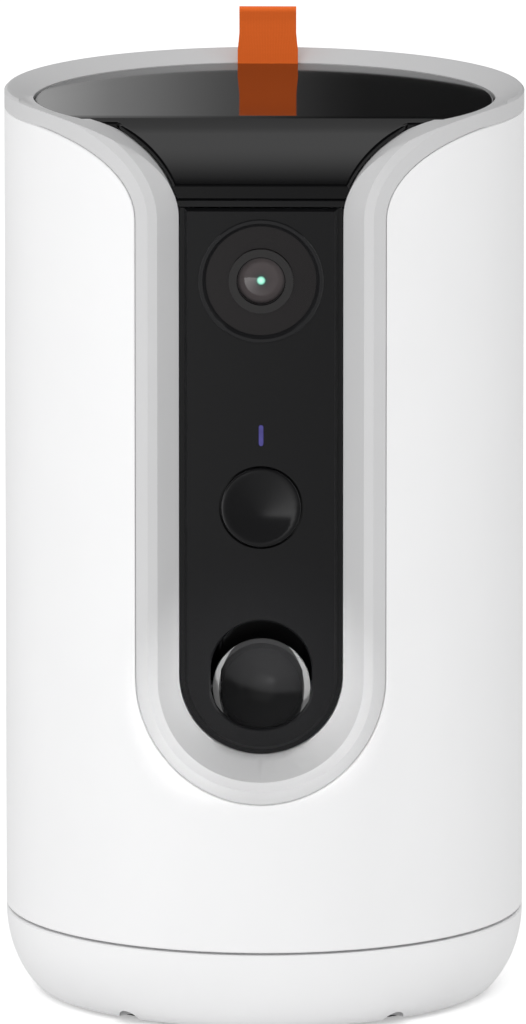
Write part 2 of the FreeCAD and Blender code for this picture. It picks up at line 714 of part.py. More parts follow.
def body_shell():
    """White outer tube with the front opening, sound holes, rear holes and four screw bosses."""
    wall = tube(BODY_RADIUS, SHELL_INNER, Z * SHELL_BOTTOM, Z, SHELL_TOP - SHELL_BOTTOM)
    wall = without(wall, opening_prism(OUTER_REACH, OUTER_RISE, OUTER_DEPTH))
    edges = [edge for edge in wall.Edges if on_outside(edge) and edge.BoundBox.ZMin < SHOULDER_Z]
    wall = wall.makeChamfer(EDGE_BREAK, edges)
    inside = rod(SHELL_INNER + SHELL_WALL / 2, Z * SPIGOT_TOP, Z, SHELL_BOSS_TOP)
    bosses = []
    for point, angle in zip(boss_points(SPIGOT_TOP), BOSS_ANGLES):
        web = box((0, BODY_RADIUS), (-BOSS_WEB / 2, BOSS_WEB / 2), (SPIGOT_TOP, SHELL_BOSS_TOP))
        web = web.common(tube(BODY_RADIUS, BOSS_CIRCLE, ORIGIN, Z, SHELL_BOSS_TOP)).rotate(ORIGIN, Z, angle)
        bosses.append(rod(BOSS_RADIUS, point, Z, SHELL_BOSS_TOP - SPIGOT_TOP).fuse(web).common(inside))
    holes = [rod(BASE_SCREW_RADIUS, point, Z, SHELL_BOSS_TOP) for point in boss_points(0)]
    rear = rod(INLET_NOSE_RADIUS + SLIP_GAP, vec(0, BOARD_REAR_Y, INLET_HEIGHT), Y, BODY_RADIUS)
    reset = rod(RESET_RADIUS + MOVING_GAP, vec(0, BOARD_REAR_Y, RESET_HEIGHT), Y, BODY_RADIUS)
    whole = joined(wall, *bosses)
    return without(whole, rear, reset, *holes, *grille_holes(-1), *grille_holes(1))


def rim_ring():
    """Grey band round the top, with its funnel, its ledge and the collar inside the shell."""
    points = [
        (BODY_RADIUS, SHELL_TOP),
        (BODY_RADIUS, RIM_HEIGHT - RIM_ROUND),
        (BODY_RADIUS - RIM_ROUND, RIM_HEIGHT),
        (BODY_RADIUS - 2 * RIM_ROUND, RIM_HEIGHT),
        (FUNNEL_RADIUS, LID_TOP),
        (FUNNEL_RADIUS, LEDGE_HEIGHT),
        (SHELL_INNER - TRIM_FIT - COLLAR_THICKNESS, LEDGE_HEIGHT),
        (SHELL_INNER - TRIM_FIT - COLLAR_THICKNESS, RIM_HEIGHT - COLLAR_DEPTH),
        (SHELL_INNER - TRIM_FIT, RIM_HEIGHT - COLLAR_DEPTH),
        (SHELL_INNER - TRIM_FIT, SHELL_TOP),
    ]
    return revolved(points, ORIGIN, Z)


def trim_liner():
    """Grey liner: the rim band and the sloped frame of the front opening, in one moulding."""
    column = rod(BODY_RADIUS, ORIGIN, Z, RIM_HEIGHT - RIM_BAND / 2)
    outline = opening_prism(OUTER_REACH + TRIM_FIT, OUTER_RISE + TRIM_FIT, OUTER_DEPTH - TRIM_FIT)
    front = column.common(outline)
    behind = rod(FUNNEL_RADIUS, ORIGIN, Z, RIM_HEIGHT)
    behind = behind.common(box((-REACH_FAR, REACH_FAR), (CARRIER_Y, REACH_FAR), (0, REACH_FAR * 2)))
    front = without(front, behind)
    lip = tube(SHELL_INNER - TRIM_FIT, SHELL_INNER - LIP_THICKNESS, ORIGIN, Z, SHELL_TOP)
    lip = lip.common(opening_prism(OUTER_REACH - LIP_WIDTH, OUTER_RISE - LIP_WIDTH, OUTER_DEPTH + LIP_WIDTH))
    flare = Part.makeLoft([
        opening_wire(PANEL_Y - FLARE_RUN, FLARE_REACH, FLARE_RISE, FLARE_DEPTH),
        opening_wire(PANEL_Y, INNER_REACH, INNER_RISE, INNER_DEPTH),
    ], True, True)
    hole = opening_prism(INNER_REACH, INNER_RISE, INNER_DEPTH)
    screws = [pilot_hole(seat, -Y) for seat in carrier_screw_seats() + housing_screw_seats()]
    liner = without(joined(rim_ring(), front, lip, cheeks()), hole, flare, *screws)
    half = SHOULDER_X - OUTER_REACH
    liner = liner.makeChamfer(FLARE_CHAMFER, upright_edges(liner, SHOULDER_X - INNER_REACH, half - 1))
    return liner.makeChamfer(EDGE_BREAK, upright_edges(liner, half - 1, half))


def upright_edges(shape, near, far):
    """The outer face's long upright edges between two distances from the middle plane."""
    return [edge for edge in shape.Edges
            if on_outside(edge) and near < abs(edge.CenterOfMass.x) < far
            and edge.BoundBox.ZLength > SHOULDER_Z - OPENING_BOTTOM_Z - 1]


def cheeks():
    """Walls that run back from the front frame along both sides of the lid's tongue."""
    band = opening_prism(INNER_REACH - CHEEK_WALL, INNER_RISE - CHEEK_WALL, INNER_DEPTH)
    zone = box((-REACH_FAR, REACH_FAR), (CARRIER_Y - CHEEK_WALL, LID_BEND_Y - MOVING_GAP),
               (CARRIER_TOP + MOVING_GAP, 2 * REACH_FAR))
    return band.common(zone).common(rod(SHELL_INNER - TRIM_FIT, ORIGIN, Z, LID_TOP))


def carrier_screw_seats():
    """Where the carrier's screw heads rest, on its back face."""
    return [vec(side * CARRIER_SCREW_X, CARRIER_BACK_Y, height)
            for side in (-1, 1) for height in CARRIER_SCREW_HEIGHTS]


def base_profile(wall):
    """Outline of the base in (radius, height), set inwards by a wall."""
    top = BASE_TOP
    centre = vec(BODY_RADIUS - BASE_CURVE_WIDTH, 0, top)
    width = BASE_CURVE_WIDTH - wall
    depth = BASE_CURVE_DEPTH - wall
    bottom = FOOT_HEIGHT + wall
    angle = math.asin((top - bottom) / depth)
    ellipse = Part.Ellipse(centre - Z * depth, centre + X * width, centre)
    arc = Part.ArcOfEllipse(ellipse, math.pi / 2 - angle, math.pi / 2)
    low, high = arc.StartPoint, arc.EndPoint
    edges = [
        arc.toShape(),
        Part.makeLine(high, vec(0, 0, high.z)),
        Part.makeLine(vec(0, 0, high.z), vec(0, 0, low.z)),
        Part.makeLine(vec(0, 0, low.z), low),
    ]
    return Part.Face(Part.Wire(edges)).revolve(ORIGIN, Z, 360)


def base_shell():
    """White base with a curved-in side, a spigot that enters the shell, and bosses for the screws."""
    bowl = without(base_profile(0), base_profile(BASE_WALL))
    edges = [edge for edge in bowl.Edges if on_outside(edge) and edge.BoundBox.ZMin > BASE_TOP - EDGE_BREAK]
    bowl = bowl.makeChamfer(EDGE_BREAK, edges)
    outer = SHELL_INNER - SLIP_GAP
    spigot = tube(outer, outer - SPIGOT_WALL, Z * SPIGOT_BOTTOM, Z, SPIGOT_TOP - SPIGOT_BOTTOM)
    inside = rod(outer, Z * FLOOR_TOP, Z, SPIGOT_TOP).common(base_profile(SLIP_GAP).fuse(
        rod(outer, Z * SPIGOT_BOTTOM, Z, SPIGOT_TOP)))
    bosses = [rod(BOSS_RADIUS, point, Z, SPIGOT_TOP - FLOOR_TOP).common(inside)
              for point in boss_points(FLOOR_TOP)]
    posts = [rod(FRAME_POST_RADIUS, vec(x, y, FLOOR_TOP), Z, FRAME_BOTTOM - FLOOR_TOP)
             for x, y in frame_screw_places()]
    pegs = [rod(BALLAST_PEG_RADIUS, vec(side * BALLAST_PEG_X, 0, FLOOR_TOP), Z, BALLAST_THICKNESS)
            for side in (-1, 1)]
    whole = joined(bowl, spigot, *bosses, *posts, *pegs)
    sinks = [rod(BASE_SCREW_HEAD_RADIUS + SLIP_GAP, point, Z, BASE_SCREW_SINK)
             for point in boss_points(FOOT_HEIGHT)]
    holes = [rod(BASE_SCREW_RADIUS, point, Z, REACH_FAR) for point in boss_points(0)]
    frame_holes = [pilot_hole(seat, -Z) for seat in frame_screw_seats()]
    groove = tube(FOOT_OUTER, FOOT_INNER, Z * FOOT_HEIGHT, Z, FOOT_GROOVE)
    return without(whole, groove, *sinks, *holes, *frame_holes)


def base_screws():
    """Four long screws that hold the base to the shell."""
    start = FOOT_HEIGHT + BASE_SCREW_SINK - BASE_SCREW_HEAD_HEIGHT
    return [screw(point, Z, BASE_SCREW_HEAD_RADIUS, BASE_SCREW_HEAD_HEIGHT, BASE_SCREW_RADIUS,
                  BASE_SCREW_LENGTH)
            for point in boss_points(start)]


def foot_ring():
    """Rubber ring that the object stands on."""
    return tube(FOOT_OUTER, FOOT_INNER, ORIGIN, Z, FOOT_HEIGHT + FOOT_GROOVE)


def ballast_plate():
    """Steel disc on the base's floor, held by two pegs."""
    disc = rod(BALLAST_RADIUS, Z * FLOOR_TOP, Z, BALLAST_THICKNESS)
    holes = [rod(BALLAST_PEG_RADIUS, vec(side * BALLAST_PEG_X, 0, 0), Z, REACH_FAR) for side in (-1, 1)]
    posts = [rod(FRAME_POST_RADIUS + SLIP_GAP, vec(x, y, 0), Z, REACH_FAR) for x, y in frame_screw_places()]
    return without(disc, *holes, *posts)


def lid_profile(drop, thickness):
    """Side profile of the lid, or of the cover under it: flat, bent, then sloping to the panel's top."""
    top = LID_TOP - drop
    tip_y = PANEL_Y
    slope = math.atan2(LID_TOP - LID_TIP_HEIGHT, LID_BEND_Y - tip_y)
    shift = drop * math.tan(slope / 2)
    bend = vec(0, LID_BEND_Y + shift, top)
    forward = vec(0, -math.cos(slope), -math.sin(slope))
    tangent = LID_BEND_RADIUS * math.tan(slope / 2)
    middle_up = vec(0, -math.sin(slope / 2), math.cos(slope / 2))
    crest = bend + middle_up * (LID_BEND_RADIUS - LID_BEND_RADIUS / math.cos(slope / 2))
    reach = (bend.y - tip_y) / math.cos(slope)
    below = -Z * thickness
    step = Y * (thickness * math.tan(slope / 2))
    back = vec(0, REACH_FAR, top)
    tip = bend + forward * reach
    tip_low = vec(0, tip.y, (bend + step + below).z - (bend.y + step.y - tip.y) * math.tan(slope))
    edges = [
        Part.makeLine(back, bend + Y * tangent),
        Part.Arc(bend + Y * tangent, crest, bend + forward * tangent).toShape(),
        Part.makeLine(bend + forward * tangent, tip),
        Part.makeLine(tip, tip_low),
        Part.makeLine(tip_low, bend + step + below),
        Part.makeLine(bend + step + below, back + below),
        Part.makeLine(back + below, back),
    ]
    return Part.Face(Part.Wire(edges)).extrude(X * REACH_FAR * 2).translated(-X * REACH_FAR)


def sheet_in_opening(sheet, radius, growth):
    """Part of a bent sheet that lies inside the rim, with its front cut to the opening's outline."""
    half = REACH_FAR / 2
    rear = box((-half, half), (LID_BEND_Y, half), (0, 2 * REACH_FAR))
    outline = opening_prism(INNER_REACH + growth, INNER_RISE + growth / 4, INNER_DEPTH)
    front = outline.common(box((-half, half), (-half, LID_BEND_Y), (0, 2 * REACH_FAR)))
    disc = rod(radius, ORIGIN, Z, 2 * REACH_FAR)
    return sheet.common(disc).common(rear.fuse(front)).removeSplitter()


def tab_notch():
    """Room for the pull tab: a notch in the lid's rear edge and a recess under it."""
    half = TAB_WIDTH / 2 + TAB_SIDE_GAP
    notch = box((-half, half), (TAB_FRONT_Y, REACH_FAR), (LID_UNDER, RIM_HEIGHT))
    recess = box((-half, half), (TAB_FRONT_Y - TAB_LEG_LENGTH, REACH_FAR),
                 (LID_UNDER, LID_UNDER + TAB_RECESS_DEPTH))
    return notch.fuse(recess)


def clamp_screw_points(height):
    """Centres of the two clamp screws."""
    y = TAB_FRONT_Y - TAB_LEG_LENGTH + CLAMP_LENGTH / 2
    return [vec(side * CLAMP_HOLE_SPACING / 2, y, height) for side in (-1, 1)]


def on_lid_outline(edge):
    """Whether an edge bounds the lid's upper side, and isn't a line of its bend."""
    middle = edge.valueAt((edge.FirstParameter + edge.LastParameter) / 2)
    slope = (LID_TOP - LID_TIP_HEIGHT) / (LID_BEND_Y - PANEL_Y)
    top = LID_TOP - max(0.0, LID_BEND_Y - middle.y) * slope
    across = abs(middle.x) < MOVING_GAP and PANEL_Y + MOVING_GAP < middle.y < 0
    return middle.z > top - LID_THICKNESS / 2 + MOVING_GAP / 2 and not across


def lid():
    """Black lid: a disc with a notch for the tab at the rear and a tongue bent down at the front."""
    plate = sheet_in_opening(lid_profile(0, LID_THICKNESS), LID_RADIUS, MOVING_GAP)
    plate = plate.makeFillet(LID_EDGE_ROUND, [edge for edge in plate.Edges if on_lid_outline(edge)])
    holes = [rod(CLAMP_SCREW_RADIUS, point, Z, CLAMP_TIP) for point in clamp_screw_points(LID_UNDER)]
    return without(plate, tab_notch(), *holes)


def lid_plug():
    """Wall under the lid that enters the hopper's mouth."""
    bottom = LID_UNDER - PLUG_DEPTH
    outer = d_prism(PLUG_GAP, bottom, PLUG_DEPTH)
    return without(outer, d_prism(PLUG_GAP + PLUG_WALL, bottom, PLUG_DEPTH))


def lid_seal():
    """Silicone ring round the plug."""
    bottom = LID_UNDER - PLUG_DEPTH + SEAL_LIFT
    return without(d_prism(SEAL_GAP, bottom, SEAL_HEIGHT), d_prism(PLUG_GAP, bottom, SEAL_HEIGHT))


def lid_tab():
    """Fabric pull tab: an upright loop and the leg that the clamp holds."""
    half = TAB_WIDTH / 2
    leg_low = LID_UNDER + TAB_RECESS_DEPTH - TAB_LEG
    rear = TAB_FRONT_Y + TAB_THICKNESS
    round_centre = vec(-half, TAB_FRONT_Y + TAB_THICKNESS / 2, TAB_TOP - TAB_THICKNESS / 2)
    upright = box((-half, half), (TAB_FRONT_Y, rear), (leg_low, round_centre.z))
    leg = box((-half, half), (TAB_FRONT_Y - TAB_LEG_LENGTH, rear), (leg_low, leg_low + TAB_LEG))
    fold = rod(TAB_THICKNESS / 2, round_centre, X, TAB_WIDTH)
    holes = [rod(CLAMP_SCREW_RADIUS, point, Z, TAB_RECESS_DEPTH) for point in clamp_screw_points(LID_UNDER)]
    return without(joined(upright, leg, fold), *holes)


def tab_clamp():
    """Small plate that holds the tab's leg in the lid's recess."""
    half = TAB_WIDTH / 2
    y = TAB_FRONT_Y - TAB_LEG_LENGTH
    plate = box((-half, half), (y, y + CLAMP_LENGTH), (LID_UNDER, LID_UNDER + TAB_RECESS_DEPTH - TAB_LEG))
    heads = [rod(CLAMP_HEAD_RADIUS, point, Z, CLAMP_HEAD_HEIGHT) for point in clamp_screw_points(LID_UNDER)]
    holes = [rod(CLAMP_SCREW_RADIUS, point, Z, TAB_RECESS_DEPTH) for point in clamp_screw_points(LID_UNDER)]
    return without(plate, *heads, *holes)


def tab_screws():
    """Two small screws that hold the clamp."""
    return [joined(rod(CLAMP_HEAD_RADIUS, point, Z, CLAMP_HEAD_HEIGHT),
                   rod(CLAMP_SCREW_RADIUS, point, Z, CLAMP_TIP))
            for point in clamp_screw_points(LID_UNDER)]


def hopper_body(growth, bottom):
    """Space inside the hopper, or its outer form when grown by the wall."""
    upright = d_prism(-growth, bottom, LID_UNDER - bottom)
    low_radius = METER_INNER + growth
    height = LID_UNDER - bottom
    cone = Part.makeCone(low_radius, low_radius + height / HOPPER_CONE_RISE, height,
                         ROTOR_CENTRE + Z * bottom, Z)
    return upright.common(cone)


def lug_points(height):
    """Centres of the lugs that join the hopper to the metering housing."""
    return [polar(METER_OUTER + LUG_OFFSET, angle, ROTOR_CENTRE, height) for angle in LUG_ANGLES]


def hopper():
    """Treat hopper: straight at the top, coned at the bottom, flat at the front behind the camera."""
    inside = hopper_body(0, METER_TOP)
    outside = hopper_body(HOPPER_WALL, METER_TOP)
    flange_bottom = LEDGE_HEIGHT - HOPPER_FLANGE_THICKNESS
    flange = rod(HOPPER_FLANGE_RADIUS, Z * flange_bottom, Z, HOPPER_FLANGE_THICKNESS)
    flange = flange.common(box((-REACH_FAR, REACH_FAR), (HOPPER_FRONT_Y - HOPPER_WALL, REACH_FAR),
                               (0, 2 * REACH_FAR)))
    lugs = [rod(LUG_RADIUS, point, Z, LUG_HEIGHT) for point in lug_points(METER_TOP)]
    holes = [pilot_hole(point, Z) for point in lug_points(METER_TOP - METER_FLOOR)]
    return without(joined(outside, flange, *lugs), inside, *holes)


def treat_guard():
    """Roof over the outlet pocket, so that treats leave only in the wheel's pockets."""
    low = METER_TOP + GUARD_RISE
    y_back = ROTOR_Y - GUARD_INNER_RADIUS / 2
    room = hopper_body(0, METER_TOP)
    plate = box((-GUARD_HALF_WIDTH, GUARD_HALF_WIDTH), (-REACH_FAR, y_back), (low, low + GUARD_THICKNESS))
    plate = plate.common(room)
    front = room.BoundBox.YMin
    rise = box((-GUARD_HALF_WIDTH, GUARD_HALF_WIDTH), (front, ROTOR_Y - ROTOR_RADIUS),
               (low, low + GUARD_BACK_HEIGHT)).common(room)
    hole = rod(GUARD_INNER_RADIUS, ROTOR_CENTRE, Z, 2 * REACH_FAR)
    return without(joined(plate, rise), hole)


def camera_bay_cover():
    """Cover over the camera, parallel to the lid's tongue. Its front edge shows above the panel."""
    sheet = lid_profile(LID_THICKNESS + BAY_COVER_GAP, BAY_COVER_THICKNESS)
    plate = sheet_in_opening(sheet, LID_RADIUS, MOVING_GAP / 2)
    keep = box((-REACH_FAR, REACH_FAR), (-REACH_FAR, HOPPER_FRONT_Y - HOPPER_WALL), (0, 2 * REACH_FAR))
    return plate.common(keep)


def metering_housing():
    """Round tray that the metering wheel turns in, with the outlet in its floor."""
    drum = rod(METER_OUTER, ROTOR_CENTRE + Z * METER_BOTTOM, Z, METER_TOP - METER_BOTTOM)
    room = rod(METER_INNER, ROTOR_CENTRE + Z * METER_FLOOR_TOP, Z, METER_TOP)
    boss = rod(METER_BOSS_RADIUS, ROTOR_CENTRE + Z * (METER_BOTTOM - METER_BOSS_HEIGHT), Z, METER_BOSS_HEIGHT)
    lug_bottom = METER_TOP - METER_FLOOR
    lugs = [rod(LUG_RADIUS, point, Z, METER_FLOOR) for point in lug_points(lug_bottom)]
    holes = [pilot_hole(point, Z) for point in lug_points(lug_bottom)]
    bore = rod(ROTOR_SHAFT_RADIUS + PIN_RUNNING_GAP, ROTOR_CENTRE, Z, 2 * REACH_FAR)
    outlet = rod(OUTLET_RADIUS, vec(0, OUTLET_Y, 0), Z, METER_TOP - ROTOR_HEIGHT)
    return without(joined(drum, boss, *lugs), room, bore, outlet, *holes)


def metering_rotor():
    """Metering wheel with one treat to a pocket and a cone that spreads the treats."""
    bottom = ROTOR_CENTRE + Z * ROTOR_BOTTOM
    wheel = rod(ROTOR_RADIUS, bottom, Z, ROTOR_HEIGHT)
    cone = Part.makeCone(ROTOR_CONE_RADIUS, ROTOR_CONE_TIP, ROTOR_CONE_HEIGHT, bottom + Z * ROTOR_HEIGHT, Z)
    pockets = [rod(POCKET_RADIUS, polar(POCKET_CIRCLE, 270 + 360 * index / POCKET_COUNT, ROTOR_CENTRE), Z,
                   ROTOR_BOTTOM + ROTOR_HEIGHT)
               for index in range(POCKET_COUNT)]
    socket = rod(ROTOR_SHAFT_RADIUS, bottom, Z, ROTOR_SHAFT_EMBED)
    return without(joined(wheel, cone), socket, *pockets)


def rotor_shaft():
    """Shaft that carries the metering wheel above and its gear below."""
    top = ROTOR_BOTTOM + ROTOR_SHAFT_EMBED
    return rod(ROTOR_SHAFT_RADIUS, ROTOR_CENTRE + Z * ROTOR_SHAFT_BOTTOM, Z, top - ROTOR_SHAFT_BOTTOM)


def rotor_gear():
    """Gear under the metering housing."""
    centre = ROTOR_CENTRE + Z * ROTOR_GEAR_BOTTOM
    wheel = gear(ROTOR_TEETH, ROTOR_GEAR_MODULE, centre, Z, ROTOR_GEAR_WIDTH, 90)
    return without(wheel, rod(ROTOR_SHAFT_RADIUS, centre, Z, ROTOR_GEAR_WIDTH))


def rotor_pinion():
    """Motor pinion with its shaft, in mesh with the wheel's gear."""
    centre = vec(0, PINION_Y, ROTOR_GEAR_BOTTOM)
    wheel = gear(PINION_TEETH, ROTOR_GEAR_MODULE, centre, Z, ROTOR_GEAR_WIDTH, 270 + 180 / PINION_TEETH)
    low = BRACKET_TOP - MOTOR_PLATE_WALL - MOTOR_BORE_DEPTH
    return joined(wheel, rod(MOTOR_SHAFT_RADIUS, vec(0, PINION_Y, low), Z,
                             ROTOR_GEAR_TOP + PINION_OVERHANG - low))


def gear_motor(front, axis, wide, thick):
    """Small flat-sided gear motor: the gearbox with its shaft bore, and the can with its end boss."""
    def block(start, length):
        corner = front + axis * start - wide * (MOTOR_WIDTH / 2) - thick * (MOTOR_THICKNESS / 2)
        corners = [corner, corner + wide * MOTOR_WIDTH, corner + wide * MOTOR_WIDTH + thick * MOTOR_THICKNESS,
                   corner + thick * MOTOR_THICKNESS]
        return Part.Face(Part.makePolygon(corners + corners[:1])).extrude(axis * length)

    bore = rod(MOTOR_SHAFT_RADIUS + PIN_RUNNING_GAP, front, axis, MOTOR_BORE_DEPTH + PIN_RUNNING_GAP)
    gearbox = without(block(0, GEARBOX_LENGTH), bore)
    can_start = front + axis * GEARBOX_LENGTH
    can = rod(MOTOR_WIDTH / 2, can_start, axis, MOTOR_CAN_LENGTH)
    can = can.common(block(GEARBOX_LENGTH, MOTOR_CAN_LENGTH))
    boss = rod(MOTOR_END_BOSS, can_start + axis * MOTOR_CAN_LENGTH, axis, MOTOR_END_BOSS_LENGTH)
    return gearbox, joined(can, boss)


def metering_bracket():
    """Plate on two posts that hangs the metering motor under the housing."""
    half = POST_X + POST_RADIUS
    low = BRACKET_TOP - MOTOR_PLATE_WALL
    plate = box((-half, half), (PINION_Y - POST_RADIUS * 2, PINION_Y + POST_RADIUS * 2), (low, BRACKET_TOP))
    posts = [rod(POST_RADIUS, vec(side * POST_X, PINION_Y, low), Z, METER_BOTTOM - low) for side in (-1, 1)]
    hole = rod(MOTOR_SHAFT_HOLE, vec(0, PINION_Y, 0), Z, 2 * REACH_FAR)
    return without(joined(plate, *posts), hole)


def chute_path():
    """Centre line of the drop chute: down, slanting forward, and down again, with round bends."""
    top = vec(0, OUTLET_Y, METER_BOTTOM)
    upper = top - Z * CHUTE_UPPER_RUN
    bottom = vec(0, CHUTE_OUTLET_Y, HOUSING_TOP)
    lower = bottom + Z * CHUTE_LOWER_RUN
    slant = (lower - upper).normalize()
    turn = slant.getAngle(-Z)
    cut = CHUTE_BEND_RADIUS * math.tan(turn / 2)
    edges = []
    last = top
    for corner, before, after in ((upper, -Z, slant), (lower, slant, -Z)):
        start = corner - before * cut
        end = corner + after * cut
        inward = (after - before).normalize()
        apex = corner + inward * (CHUTE_BEND_RADIUS / math.cos(turn / 2) - CHUTE_BEND_RADIUS)
        edges += [Part.makeLine(last, start), Part.Arc(start, apex, end).toShape()]
        last = end
    edges.append(Part.makeLine(last, bottom))
    return Part.Wire(edges)


def drop_chute():
    """Bent pipe that takes a treat from the metering outlet down to the toss cup."""
    top = vec(0, OUTLET_Y, METER_BOTTOM)
    bottom = vec(0, CHUTE_OUTLET_Y, HOUSING_TOP)

    def swept(radius):
        circle = Part.Wire(Part.makeCircle(radius, top, Z))
        return chute_path().makePipeShell([circle], True, False)

    outer = CHUTE_BORE + CHUTE_WALL
    flanges = [
        rod(outer + CHUTE_FLANGE_GROWTH, top - Z * CHUTE_FLANGE_THICKNESS, Z, CHUTE_FLANGE_THICKNESS),
        rod(outer + CHUTE_FLANGE_GROWTH, bottom, Z, CHUTE_FLANGE_THICKNESS),
    ]
    flanges[0] = without(flanges[0], rod(METER_BOSS_RADIUS + SLIP_GAP, ROTOR_CENTRE, Z, 2 * REACH_FAR))
    in_front = box((-REACH_FAR, REACH_FAR), (-REACH_FAR, CARRIER_BACK_Y + SLIP_GAP), (0, 2 * REACH_FAR))
    flanges[1] = without(flanges[1], in_front)
    return without(joined(swept(outer), *flanges), swept(CHUTE_BORE))


def cup_room():
    """Round room that the toss cup turns in."""
    return rod(HOUSING_INNER_RADIUS, CUP_CENTRE - X * HOUSING_HALF_WIDTH, X, 2 * HOUSING_HALF_WIDTH)


def toss_housing():
    """Housing of the toss cup, with its side bearings, its mouth and the wall that carries the motor."""
    low = CUP_HEIGHT - HOUSING_INNER_RADIUS - HOUSING_BOTTOM_WALL
    body = box((-HOUSING_SIDE, HOUSING_SIDE), (CARRIER_BACK_Y, HOUSING_BACK_Y), (low, HOUSING_TOP))
    half = HOUSING_FLANGE_HALF_WIDTH
    flange = box((-half, half), (CARRIER_BACK_Y, CARRIER_BACK_Y + HOUSING_FLANGE_THICKNESS),
                 (low, HOUSING_TOP))
    reach = MOTOR_WIDTH / 2 + HOUSING_WALL
    motor_wall = box((HOUSING_HALF_WIDTH, HOUSING_SIDE), (HOUSING_BACK_Y, DRIVE_CENTRE.y + reach),
                     (DRIVE_CENTRE.z - reach, DRIVE_CENTRE.z + reach))
    mouth = mouth_prism(CARRIER_Y, 0, CUP_Y - CARRIER_Y)
    back = HOUSING_BACK_Y - HOUSING_BACK_WALL
    throat = box((-CUP_HOLLOW_HALF_WIDTH, CUP_HOLLOW_HALF_WIDTH), (CHUTE_OUTLET_Y - CHUTE_BORE, back),
                 (CUP_HEIGHT, HOUSING_TOP))
    pins = rod(PIN_RADIUS + PIN_RUNNING_GAP, CUP_CENTRE - X * REACH_FAR, X, 2 * REACH_FAR)
    shaft = rod(MOTOR_SHAFT_HOLE, DRIVE_CENTRE, X, REACH_FAR)
    holes = [pilot_hole(seat, -Y) for seat in housing_screw_seats()]
    whole = joined(body, flange, motor_wall)
    return without(whole, cup_room(), mouth, throat, pins, shaft, *holes, *side_rooms())


def side_rooms():
    """Room for the cup's gear and spring in the flange and the carrier, one on each side."""
    reach = GEAR_MODULE * (CUP_TEETH / 2 + 1) + MOVING_GAP
    near = HOUSING_SIDE + GEAR_SIDE_GAP / 2
    far = GEAR_X + COCKING_GEAR_WIDTH + MOVING_GAP
    heights = (CUP_HEIGHT - reach, CUP_HEIGHT + reach)
    depths = (CARRIER_Y, CUP_Y)
    return [box((near, far), depths, heights), box((-far, -near), depths, heights)]


def housing_screw_seats():
    """Where the screws that hold the toss housing to the carrier rest."""
    x = (HOUSING_SIDE + HOUSING_FLANGE_HALF_WIDTH) / 2
    y = CARRIER_BACK_Y + HOUSING_FLANGE_THICKNESS
    low = CUP_HEIGHT - HOUSING_INNER_RADIUS
    high = HOUSING_TOP - SCREW_HEAD_RADIUS * 2
    return [vec(side * x, y, height) for side in (-1, 1) for height in (low, high)]


def cup_turned(shape):
    """Turn a shape from facing straight forward to the cup's rest tilt."""
    return shape.rotate(CUP_CENTRE, X, -CUP_TILT)


def toss_cup():
    """Round cup that faces forward at rest and up when it is cocked."""
    ball = Part.makeSphere(CUP_RADIUS, CUP_CENTRE)
    lip = CUP_Y - CUP_LIP_FORWARD
    keep = box((-REACH_FAR, REACH_FAR), (lip, REACH_FAR), (0, REACH_FAR))
    half = CUP_HOLLOW_HALF_WIDTH
    hollow = Part.makeSphere(CUP_HOLLOW_RADIUS, CUP_CENTRE)
    hollow = hollow.common(box((-half, half), (-REACH_FAR, REACH_FAR), (0, REACH_FAR)))
    pins = rod(PIN_RADIUS, CUP_CENTRE - X * REACH_FAR, X, 2 * REACH_FAR)
    return cup_turned(without(ball.common(keep), hollow, pins))


def cup_pin(side, end):
    """Pivot pin from the cup's inner flat out through the housing's side wall."""
    start = CUP_HOLLOW_HALF_WIDTH
    return rod(PIN_RADIUS, CUP_CENTRE + X * (side * start), X * side, end - start)


def cup_gear():
    """Gear on the cup's right pin."""
    centre = CUP_CENTRE + X * GEAR_X
    line = math.degrees(math.atan2(DRIVE_CENTRE.z - CUP_HEIGHT, DRIVE_CENTRE.y - CUP_Y))
    wheel = gear(CUP_TEETH, GEAR_MODULE, centre, X, COCKING_GEAR_WIDTH, line + 180 / CUP_TEETH)
    return without(wheel, rod(PIN_RADIUS, centre, X, COCKING_GEAR_WIDTH))


def drive_gear():
    """Cocking gear with teeth on part of its edge, so that it lets the cup go after the stroke."""
    centre = DRIVE_CENTRE + X * GEAR_X
    line = math.degrees(math.atan2(CUP_HEIGHT - DRIVE_CENTRE.z, CUP_Y - DRIVE_CENTRE.y))
    wheel = gear(DRIVE_TEETH, GEAR_MODULE, centre, X, COCKING_GEAR_WIDTH, line, DRIVE_TEETH_LEFT)
    hub = rod(DRIVE_HUB_RADIUS, centre + X * COCKING_GEAR_WIDTH, X, DRIVE_HUB_LENGTH)
    return without(joined(wheel, hub), rod(MOTOR_SHAFT_RADIUS, centre, X, REACH_FAR))


def drive_shaft():
    """Toss motor's output shaft."""
    start = HOUSING_HALF_WIDTH - MOTOR_BORE_DEPTH
    end = GEAR_X + COCKING_GEAR_WIDTH + DRIVE_HUB_LENGTH
    return rod(MOTOR_SHAFT_RADIUS, DRIVE_CENTRE + X * start, X, end - start)


def spring_end():
    """Distance from the middle to the outer end of the cup spring."""
    return HOUSING_SIDE + SPRING_PITCH * SPRING_TURNS + 2 * SPRING_WIRE


def cup_spring():
    """Torsion spring round the left pin."""
    start = CUP_CENTRE - X * HOUSING_SIDE
    return coil(SPRING_COIL_RADIUS, SPRING_WIRE, SPRING_PITCH, SPRING_TURNS, start, -X)


def spring_collar():
    """Collar on the left pin that takes the spring's outer leg."""
    start = CUP_CENTRE - X * (spring_end() + MOVING_GAP)
    ring = rod(COLLAR_RADIUS, start, -X, COLLAR_WIDTH)
    return without(ring, rod(PIN_RADIUS, start, -X, COLLAR_WIDTH))


def camera_centre(y):
    return vec(0, y, CAMERA_HEIGHT)


